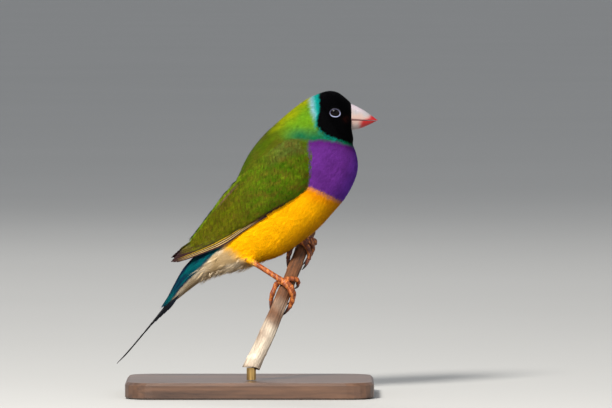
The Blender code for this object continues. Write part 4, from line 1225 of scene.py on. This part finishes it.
def flight_feather(side, i, chance):
    """One long wing feather. The first primaries share the bundle along the wing's lower edge, and
    the inner feathers lie one above the other up to its upper edge."""
    tip = FLIGHT_TIPS[i] + chance.uniform(-0.03, 0.03)
    v, c = grid(steps(0.0, 1.0, FLIGHT_ROWS), np.array(FLIGHT_ACROSS))
    a = FLIGHT_ROOT + (tip - FLIGHT_ROOT) * v
    wide = np.maximum(wing_width(a), 1.5)
    spread = rise(5.2, 7.8, a)
    bundle = np.interp(a, *BUNDLE) / wide
    if i < PRIMARIES:
        low = bundle * min(i, BUNDLED) / BUNDLED + max(i - BUNDLED, 0) * (0.3 / wide + 0.09 * spread)
        across_mm = PRIMARY_WIDTH - 1.3 * spread
    else:
        share = (i - PRIMARIES) / (len(FLIGHT_TIPS) - PRIMARIES)
        across_mm = 3.6 - 1.2 * spread
        highest = np.maximum(0.985 - across_mm / wide, bundle * 1.15 + 0.1)
        low = bundle * 1.15 + share * (highest - bundle * 1.15)
    end = np.clip((1 - v) / 0.14, 0.0, 1.0) ** 0.5
    b_wide = across_mm / wide
    b = low + b_wide * (FLIGHT_SHAFT + (c - FLIGHT_SHAFT) * (0.06 + 0.94 * end))
    b = np.minimum(b, 1.0 + 0.02 * v)
    room = np.clip((wing_height(a, b) - 0.45) / 1.5, 0.15, 1.0)
    room = room + (1 - room) * rise(4.2, 5.2, a)
    open_height = FLIGHT_OPEN - 0.55 * rise(4.5, 8.0, a)
    ridge = 0.07 * np.exp(-((c - FLIGHT_SHAFT) / 0.025) ** 2) * (1 - v)
    height = open_height - (open_height - FLIGHT_COVERED) * np.clip(b - low, 0, None) / b_wide * 0.9
    rough = 0.03 * waves(np.stack([v * 60, c * 9, v * 0 + i], -1), 1.5, 70 + i)
    top = wing(a, b, (height + ridge + rough) * room + FLIGHT_THICK, side)
    bottom = wing(a, b, height * room, side)
    barbs = top[..., [0, 2]].reshape(-1, 2) + chance.uniform(-0.5, 0.5, (1, 2))
    return vane(top, bottom, flight_paint(top, i, a, c, v), barbs, side < 0)


def flight_paint(top, i, a, c, v):
    """Dark primaries with pale outer edges, and olive green inner feathers with brown tips."""
    patch = waves(top, 3.0, 31)
    if i < PRIMARIES:
        edge = FLIGHT_EDGES[min(i, BUNDLED)]
        web = shaded(PRIMARY_BROWN, 1 + 0.2 * patch)
        if i > BUNDLED:
            olive = mix(WING_OLIVE, WING_BROWN, np.clip(0.3 + 0.4 * patch, 0, 1)) * 0.75
            web = mix(olive, web, rise(6.9, 7.4, a))
        pale = np.interp(a, *BUNDLE) * PALE_SHARE / BUNDLED / PRIMARY_WIDTH
        colour = mix(web, edge, rise(1.25, 0.8, c / pale) * rise(7.9, 6.8, a) * rise(2.9, 3.7, a))
    else:
        web = mix(WING_GREEN, WING_OLIVE, np.clip(0.7 + 0.3 * patch, 0, 1))
        colour = mix(web, WING_BROWN, np.clip(0.2 + 0.4 * waves(top, 1.6, 32), 0, 0.8))
        colour = mix(colour, PRIMARY_BROWN, rise(0.25, 0.75, c) * 0.1)
        colour = mix(colour, PRIMARY_BROWN, rise(0.93, 1.0, v) * 0.7) * 0.9
    shaft = np.exp(-((c - FLIGHT_SHAFT) / 0.03) ** 2) * (0.4 if i < PRIMARIES else 0.15)
    return mix(colour, PRIMARY_BROWN * 0.7, shaft)


def make_flight_feathers(side, looks):
    chance = np.random.default_rng(61)
    vanes = [flight_feather(side, i, chance) for i in range(len(FLIGHT_TIPS))]
    vane_piece("flight_feathers_" + SIDES[side], vanes, looks["vane"])


def tail_feather(pair, side):
    """One tail feather; the middle pair narrows to long filaments."""
    tip = TAIL_TIPS[pair]
    outer = TAIL_EDGE[0] + TAIL_EDGE[1] * pair
    inner = max(outer - TAIL_WIDTH, TAIL_SLIT)
    v, c = grid(steps(0.0, 1.0, TAIL_ROWS if pair else FILAMENT_ROWS), np.array(TAIL_ACROSS))
    t = TAIL_ROOT + (tip - TAIL_ROOT) * v
    if pair == 0:
        narrow = 1 / (1 + np.exp((t - 2.5) * 3.2))
        wide = FILAMENT_WIDTH * (1 - 0.5 * v) + (outer - inner - FILAMENT_WIDTH) * narrow
        y = inner + wide * c
    else:
        end = np.clip((1 - v) / 0.4, 0.0, 1.0) ** 0.7
        wide = (outer - inner) * (0.1 + 0.9 * end)
        y = inner + (outer - inner - wide) * 0.3 + wide * c
    spread = 0.35 + 0.65 * rise(0.5, 1.9, t)
    ridge = 0.1 * np.exp(-((c - TAIL_SHAFT) / 0.03) ** 2) * (1 - 0.7 * v)
    height = -TAIL_LEVEL * pair * spread - 0.25 * (y - inner) * spread + ridge
    height = height + 0.04 * waves(np.stack([v * 50, c * 6, v * 0 + pair], -1), 1.5, 90 + pair)
    y = inner * spread * 0.3 + inner * 0.7 * spread + (y - inner) * spread + TAIL_SLIT * (1 - spread)
    thick = 0.14 + 0.24 * rise(2.2, 3.0, t) * rise(5.0, 4.2, t) * (pair == 0)
    top = tail(t, -side * y, height + 0.32)
    bottom = tail(t, -side * y, height + 0.32 - thick)
    shine = np.clip(0.3 + 0.4 * waves(top, 5.0, 33), 0, 1) * rise(3.6, 1.0, t) * 0.5
    across = (c - TAIL_SHAFT) * 2.3
    barbs = np.stack([across - v * 30.0, across + v * 30.0 + pair * 5.0], -1).reshape(-1, 2)
    return vane(top, bottom, mix(TAIL_BLACK, TAIL_BLUE * 0.6, shine), barbs, side > 0)


def make_tail(looks):
    vanes = [tail_feather(pair, side) for pair in range(len(TAIL_TIPS)) for side in SIDES]
    vane_piece("tail_feathers", vanes, looks["vane"], ("tail",))


def ball_points(middle, radius, outwards, polar, segments):
    """Rings of a ball round its outward axis."""
    side = unit(np.cross(outwards, [0.0, 0.0, 1.0]))
    ring = on_ring(side, np.cross(side, outwards), full_turn(segments))
    polar = np.radians(polar)[:, None, None]
    return middle + radius * (np.cos(polar) * outwards + np.sin(polar) * ring[None])


def make_eye(side, looks):
    """A wet dark eyeball with a barely lighter iris."""
    middle, _, _, outwards = eye_axes(side)
    polar = steps(1.0, 179.0, EYE_ROWS)
    shape = closed_tube(ball_points(middle, EYE_RADIUS, outwards, polar, EYE_SIDES))
    polar, spokes = grid(polar, np.arange(EYE_SIDES))
    iris = shaded(IRIS, 1 + 0.25 * np.sin(spokes * 2.6))
    paint = mix(PUPIL, iris, rise(20.0, 23.0, polar) * rise(42.0, 38.0, polar))
    name = "eye_" + SIDES[side]
    build_mesh(name + "_ball", shape, with_ends(paint), looks["eye"], (name,))


def make_lids(side, looks):
    """The bare ring round an eye, set with small beads, and the dark lid under the feathers."""
    rows, columns = LID_ROWS, LID_SIDES
    turn, roll = grid(full_turn(rows), full_turn(columns))
    at = around_eye(turn, 1.0, LID_SKIN, side)
    out = unit(at - eye_axes(side)[0])
    along = around_eye(turn + 0.01, 1.0, LID_SKIN, side) - around_eye(turn - 0.01, 1.0, LID_SKIN, side)
    aside = unit(np.cross(unit(along), out))
    bead = 0.035 * np.cos(turn * LID_BEADS) * np.clip(np.sin(roll), 0, 1)
    bright = 0.5 - 0.5 * np.sin(turn - 0.5)
    wide = (LID_WIDTH * (0.6 + 0.35 * bright) + bead) * np.cos(roll)
    high = (LID_HEIGHT + bead) * np.sin(roll)
    ring = at + aside * wide[..., None] + out * high[..., None]
    r, c = grid(np.arange(rows), np.arange(columns))
    n, m = (r + 1) % rows, (c + 1) % columns
    quads = np.stack([r * columns + c, n * columns + c, n * columns + m, r * columns + m], -1)
    paint = mix(LID_SHADE, LID_PALE, rise(0.1, 0.95, bright + 0.1 * np.cos(turn * LID_BEADS)))
    paint = mix(paint, LID_FOOT, rise(0.5, 1.0, np.abs(np.cos(roll))) * 0.6)
    shape = (ring.reshape(-1, 3), [quads.reshape(-1, 4)])
    build_mesh("lids_" + SIDES[side], shape, paint.reshape(-1, 3), looks["lid"])
    turns = full_turn(rows)[::4]
    scale, turn = grid(steps(1.0, 1.6, 10), np.append(turns, turns[0]))
    top = around_eye(turn, scale, LID_SKIN - 0.02, side)
    shape = plate(top, around_eye(turn, scale, LID_SKIN - 0.08, side), side > 0)
    build_mesh("lid_skin_" + SIDES[side], shape, np.tile(LID_DARK, (len(shape[0]), 1)), looks["lid"])


def bill_section(share, upper):
    """Height of the mouth's edge, the rise from it to the ridge, and the half width."""
    bow = 4 * share * (1 - share) * BILL_BULGE
    tip_z = BILL_TIP[1]
    culmen = CULMEN_BASE_Z + (tip_z - CULMEN_BASE_Z) * share + bow
    gonys = GONYS_BASE_Z + (tip_z - GONYS_BASE_Z) * share - bow
    mouth = MOUTH_BASE_Z + (tip_z - MOUTH_BASE_Z) * share
    wide = BILL_HALF_WIDTH * np.maximum(1 - share, 0.0) ** 0.8
    if upper:
        return mouth + MOUTH_GAP / 2, np.maximum(culmen - mouth, 0.25), wide
    return mouth - MOUTH_GAP / 2, np.minimum(gonys - mouth, -0.25), wide * 0.93


def make_bill(upper, looks):
    """Half of the bill, with faint growth rings; the upper half has nostrils."""
    length = (BILL_TIP[0] - BILL_BASE_X) * (1.0 if upper else LOWER_BILL_SHARE)
    first = (BILL_ROOT_X - BILL_BASE_X) / length
    share = first + (0.99 - first) * steps(0.0, 1.0, BILL_ROWS)
    share, w = grid(share, steps(-90.0, 90.0, BILL_SIDES))
    edge, height, wide = bill_section(share, upper)
    sine, cosine = np.sin(np.radians(w)), np.cos(np.radians(w))
    growth = 0.012 * np.sin(share * 70) * rise(0.7, 0.1, share)
    x = BILL_BASE_X + length * share
    z = edge + (height + np.sign(height) * growth) * cosine
    rings = np.stack([x, -(np.maximum(wide, 0.2) + growth) * sine, z], -1)
    if upper:
        for side in SIDES:
            away = np.linalg.norm(rings - as_right(np.array(NOSTRIL_AT), -side), axis=-1)
            rings[..., 1] += side * NOSTRIL_DEPTH * rise(NOSTRIL_RADIUS * 1.3, NOSTRIL_RADIUS * 0.3, away)
    name = "bill_upper" if upper else "bill_lower"
    paint = with_ends(bill_paint(rings, share, cosine, upper))
    build_mesh(name + "_horn", closed_tube(rings, not upper), paint, looks["bill"], (name,))


def bill_paint(rings, share, cosine, upper):
    """Pearl white bill, pinker towards the mouth, with a red tip. cosine is 1 on the bill's ridge."""
    cloud = waves(rings, 1.6, 61)
    if upper:
        base = mix(BILL_PEARL, BILL_PINK, rise(0.75, 0.1, cosine + 0.1 * cloud))
        base = mix(base, BILL_RIDGE, rise(0.45, 0.9, cosine) * rise(0.65, 0.2, share) * 0.6)
        red = rise(0.46, 0.7, share - 0.16 * cosine + 0.10 * rise(0.4, 0.0, cosine) + 0.03 * cloud)
    else:
        base = mix(BILL_PINK, BILL_PEARL, rise(0.2, 0.8, cosine + 0.1 * cloud) * 0.6)
        red = rise(0.26, 0.52, share + 0.14 * cosine + 0.03 * cloud)
    return mix(mix(base, BILL_RED, red), BILL_MOUTH, rise(0.12, 0.0, cosine) * 0.7)


def make_perch(looks):
    """The cut branch: waists between knots, fibrous bark, and pale bark below the feet; the pale end is
    partly painted light, and the brown under the feet is partly the bird's painted shadow.
    """
    t, w = grid(steps(0.0, len(PERCH) - 1.0, PERCH_ROWS), full_turn(PERCH_SIDES))
    middle, axis, near, right, radius = perch_frame(t)
    around = on_ring(near, right, w)
    smooth = middle + around * radius[..., None]
    waist = PERCH_WAIST * (1 - np.cos(2 * math.pi * t)) / 2
    grain = np.stack([np.cos(w) * 9, np.sin(w) * 9, t * 2.4], -1)
    relief = 0.07 * waves(grain, 2.0, 81) + 0.06 * waves(grain * np.array([3, 3, 1.6]), 2.0, 82)
    relief = relief + 0.4 * np.clip(waves(smooth, 3.0, 83) - 0.75, 0, 1)
    rings = middle + around * (radius - waist + relief - 0.05)[..., None]
    # The lower end is cut level
    rings[0] += axis[0] * ((PERCH[0][2] - rings[0][:, 2]) / axis[0][:, 2])[:, None]
    # Partly bark tone, partly painted light at the pale cut end and painted shadow under the feet
    pale = rise(1.8, 0.8, t + 0.2 * waves(smooth, 5.0, 84)) * (0.75 + 0.25 * waves(smooth, 7.0, 85))
    # Painted shade in the bark's grooves and painted light on its ridges
    paint = shaded(mix(BARK_BROWN, BARK_PALE, np.clip(pale, 0, 1)), 1 + 2.2 * relief)
    paint = np.concatenate([paint.reshape(-1, 3), [BARK_CUT], [BARK_CUT]])
    build_mesh("perch_branch", closed_tube(rings), paint, looks["bark"], ("perch",))


def scaly_tube(line, front, radii, sides, scute, depth):
    """A scaly tube along a line of points: wide plates on the front, small round scales elsewhere.
    Returns its rings and how dark each point is: painted shade in the grooves between plates and
    scales, times a tone that differs from plate to plate."""
    axis = unit(np.gradient(line, axis=0))
    first = unit(front - axis * np.sum(axis * front, -1, keepdims=True))
    second = np.cross(axis, first)
    run = np.concatenate([[0], np.cumsum(np.linalg.norm(np.diff(line, axis=0), axis=1))])
    w = full_turn(sides)
    long = run[:, None] / scute + 0.25 * np.sin(run[:, None] * 1.7)
    plate_saw = np.mod(long + 0.10 * np.cos(w * 2)[None], 1.0)
    plates = 1 - np.abs(2 * plate_saw - 1) ** 5
    row = np.floor(long * 2.2)
    column = w[None] * SCALES_ROUND / (2 * math.pi)
    scale_long = np.mod(long * 2.2, 1.0)
    scale_round = np.mod(column + 0.5 * np.mod(row, 2), 1.0)
    scales = (1 - np.abs(2 * scale_long - 1) ** 3) * (1 - np.abs(2 * scale_round - 1) ** 4)
    ahead = rise(0.15, 0.6, np.cos(w))[None]
    relief = ahead * plates + (1 - ahead) * (0.25 + 0.75 * scales)
    near_end = np.clip(np.minimum(run, run[-1] - run) / (radii.max() * 0.6), 0.02, 1.0)
    rounded = np.sqrt(near_end * (2 - near_end))
    radius = (radii[:, None] + depth * (relief - 0.8)) * rounded[:, None]
    rings = line[:, None] + shaded(on_ring(first[:, None], second[:, None], w[None]), radius)
    plate_tone = np.mod(np.floor(long) * 0.618, 1.0)
    scale_tone = np.mod(row * 0.618 + np.floor(column) * 0.37, 1.0)
    tone = plate_tone * ahead + scale_tone * (1 - ahead)
    # Painted shade: darker where the relief is low, in the grooves between scales
    return rings, (0.55 + 0.45 * relief) * (0.84 + 0.32 * tone)


def leg_paint(rings, shade, dark):
    # dark is how much darker colour is mixed in; on the far leg it is painted shade
    colour = mix(LEG_PINK, LEG_DARK, np.clip(dark + 0.25 * waves(rings, 2.0, 91), 0, 1))
    colour = mix(colour, LEG_PALE, np.clip(0.1 + waves(rings, 0.8, 92), 0, 1) * 0.55)
    return with_ends(shaded(colour, shade))


def make_shank(side, looks):
    """The bare leg between heel and knuckle."""
    heel, knuckle, _ = leg_line(side)
    line = heel + (knuckle - heel) * steps(0.0, 1.02, SHANK_ROWS)[:, None]
    radii = curve(LEG_RADIUS, steps(0.0, 2.0, SHANK_ROWS))[:, 0]
    front = np.tile(np.array([0.6, -0.6, 0.5]), (SHANK_ROWS, 1))
    rings, shade = scaly_tube(line, front, radii, SHANK_SIDES, LEG_SCUTE, LEG_RELIEF)
    name = SIDES[side]
    build_mesh("shank_" + name, closed_tube(rings), leg_paint(rings, shade, LEGS[side][4]), looks["leg"],
               ("leg_" + name,))


def make_toes(side, looks):
    """Four scaly toes and the pad between them as one piece."""
    _, knuckle, down = leg_line(side)
    dark = LEGS[side][4]
    shapes, paints = [], []
    for places in TOES[side].values():
        rings, shade = toe_rings(LEGS[side][0], places, knuckle)
        shapes.append(closed_tube(rings))
        paints.append(leg_paint(rings, shade, dark + 0.3))
    rings = ball_points(knuckle, PAD_RADIUS * 1.02, down, steps(2.0, 178.0, 60), 60)
    bumps = waves(rings, 0.5, 95)
    shapes.append(closed_tube(rings + 0.08 * bumps[..., None] * unit(rings - knuckle)))
    # Painted shade between the pad's bumps, lighter on their tops
    paints.append(leg_paint(rings, 0.9 + 0.25 * bumps, dark + 0.2))
    name = SIDES[side]
    build_mesh("toes_" + name, joined(shapes), np.concatenate(paints), looks["leg"],
               ("foot_" + name,))


def toe_rings(foot, places, knuckle):
    """Rings of a toe that lies round the perch, with a swelling at each joint."""
    s = steps(0.0, len(places) - 1.0, TOE_ROWS)
    up, angle = curve(np.array(places, float), s).T
    share = s / s[-1]
    radius = TOE_RADIUS[0] + (TOE_RADIUS[1] - TOE_RADIUS[0]) * share
    line = on_perch(foot, up, angle, radius + GAP + TOE_REST)
    front = on_perch(foot, up, angle, radius + 2.0) - line
    start = knuckle + (line[0] - knuckle) * steps(0.0, 1.0, TOE_START + 1)[:-1, None]
    line = np.concatenate([start, line])
    front = np.concatenate([np.tile(front[0], (TOE_START, 1)), front])
    share = np.concatenate([np.zeros(TOE_START), share])
    radii = np.concatenate([np.full(TOE_START, TOE_RADIUS[0]), radius])
    swell = 1 + 0.09 * np.cos(share * 6 * math.pi)
    return scaly_tube(line, front, radii * swell, TOE_SIDES, TOE_SCUTE, TOE_RELIEF)


def make_claw(side, toe_name, looks):
    """A claw that goes on round the perch from the end of its toe, tapering."""
    foot = LEGS[side][0]
    (up_before, angle_before), (up, angle) = TOES[side][toe_name][-2:]
    reach = on_perch(foot, up, angle, 1.0) - on_perch(foot, up_before, angle_before, 1.0)
    share = CLAW_LENGTH / np.linalg.norm(reach)
    s = steps(-0.25 * share, share, CLAW_ROWS)
    height = TOE_REST + GAP + TOE_RADIUS[1] - 0.15 * s / share
    line = on_perch(foot, up + (up - up_before) * s, angle + (angle - angle_before) * s, height)
    line = line + unit(line[-1] - line[0]) * (GAP + TOE_RADIUS[1] * 0.5)
    v = steps(0.0, 1.0, CLAW_ROWS)
    radii = CLAW_RADIUS[0] * (1 - v ** 1.3) + CLAW_RADIUS[1]
    axis = unit(np.gradient(line, axis=0))
    first = unit(np.cross(axis, np.array([0.1, 0.2, 1.0])))
    around = on_ring(first[:, None], np.cross(axis, first)[:, None], full_turn(CLAW_SIDES))
    shape = closed_tube(line[:, None] + around * radii[:, None, None])
    paint = with_ends(mix(CLAW_BASE, CLAW_TIP, rise(0.1, 0.7, np.repeat(v, CLAW_SIDES))))
    node = f"claw_{toe_name}_{SIDES[side]}"
    build_mesh(node + "_horn", shape, paint, looks["claw"], (node,))


def dress_stand(looks):
    for node, look in (("stand_base", "wood"), ("stand_rod", "brass")):
        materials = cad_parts[node].data.materials
        materials.clear()
        materials.append(looks[look])


def make_floor():
    mesh = bpy.data.meshes.new("floor")
    rim = [(FLOOR_RADIUS * math.cos(w), FLOOR_RADIUS * math.sin(w), 0.0) for w in full_turn(FLOOR_SIDES)]
    mesh.from_pydata(rim, [], [tuple(range(FLOOR_SIDES))])
    mesh.materials.append(floor_material())
    placed("floor", mesh)


def aimed(made, place, target):
    made.location = Vector(place)
    made.rotation_mode = "QUATERNION"
    made.rotation_quaternion = (Vector(target) - Vector(place)).to_track_quat("-Z", "Y")


def make_camera():
    data = bpy.data.cameras.new("photo_view")
    data.sensor_width = SENSOR
    data.lens = SENSOR * VIEW_DISTANCE / FRAME_WIDTH
    data.clip_start, data.clip_end = CLIP_START, CLIP_END
    camera = placed("photo_view", data)
    tilt = math.radians(VIEW_ELEVATION)
    aim = np.array(AIM)
    place = aim + VIEW_DISTANCE * np.array([0.0, -math.cos(tilt), math.sin(tilt)])
    aimed(camera, place * MM, aim * MM)
    bpy.context.scene.camera = camera


def make_lights():
    for name, place, size, power, colour in LIGHTS:
        data = bpy.data.lights.new(name, "AREA")
        data.shape = "DISK"
        data.size = size
        data.energy = power
        data.color = colour
        aimed(placed(name, data), place, np.array(AIM) * MM)
    world = bpy.data.worlds.new("studio")
    world.use_nodes = True
    sky = world.node_tree.nodes["Background"]
    sky.inputs["Color"].default_value = SKY_COLOUR
    sky.inputs["Strength"].default_value = SKY_STRENGTH
    bpy.context.scene.world = world
    bpy.context.scene.view_settings.view_transform = "Standard"


def make_looks():
    looks = {name: feather_material(*values) for name, values in FEATHER_LOOKS.items()}
    looks.update({name: painted_material(*values) for name, values in PAINTED_LOOKS.items()})
    looks["skin"] = skin_material()
    looks["bark"] = bark_material()
    looks["wood"] = wood_material()
    looks["brass"] = brass_material()
    return looks


def main():
    make_camera()
    looks = make_looks()
    make_skin(looks)
    make_body_coat(looks)
    make_bristles(looks)
    make_fluff(looks)
    for side in SIDES:
        for make in (make_wing_core, make_wing_coat, make_flight_feathers, make_eye, make_lids):
            make(side, looks)
    make_tail(looks)
    make_bill(True, looks)
    make_bill(False, looks)
    for side in SIDES:
        make_shank(side, looks)
        make_toes(side, looks)
        for toe_name in TOES[side]:
            make_claw(side, toe_name, looks)
        make_thigh(side, looks)
    make_perch(looks)
    dress_stand(looks)
    make_floor()
    make_lights()


main()
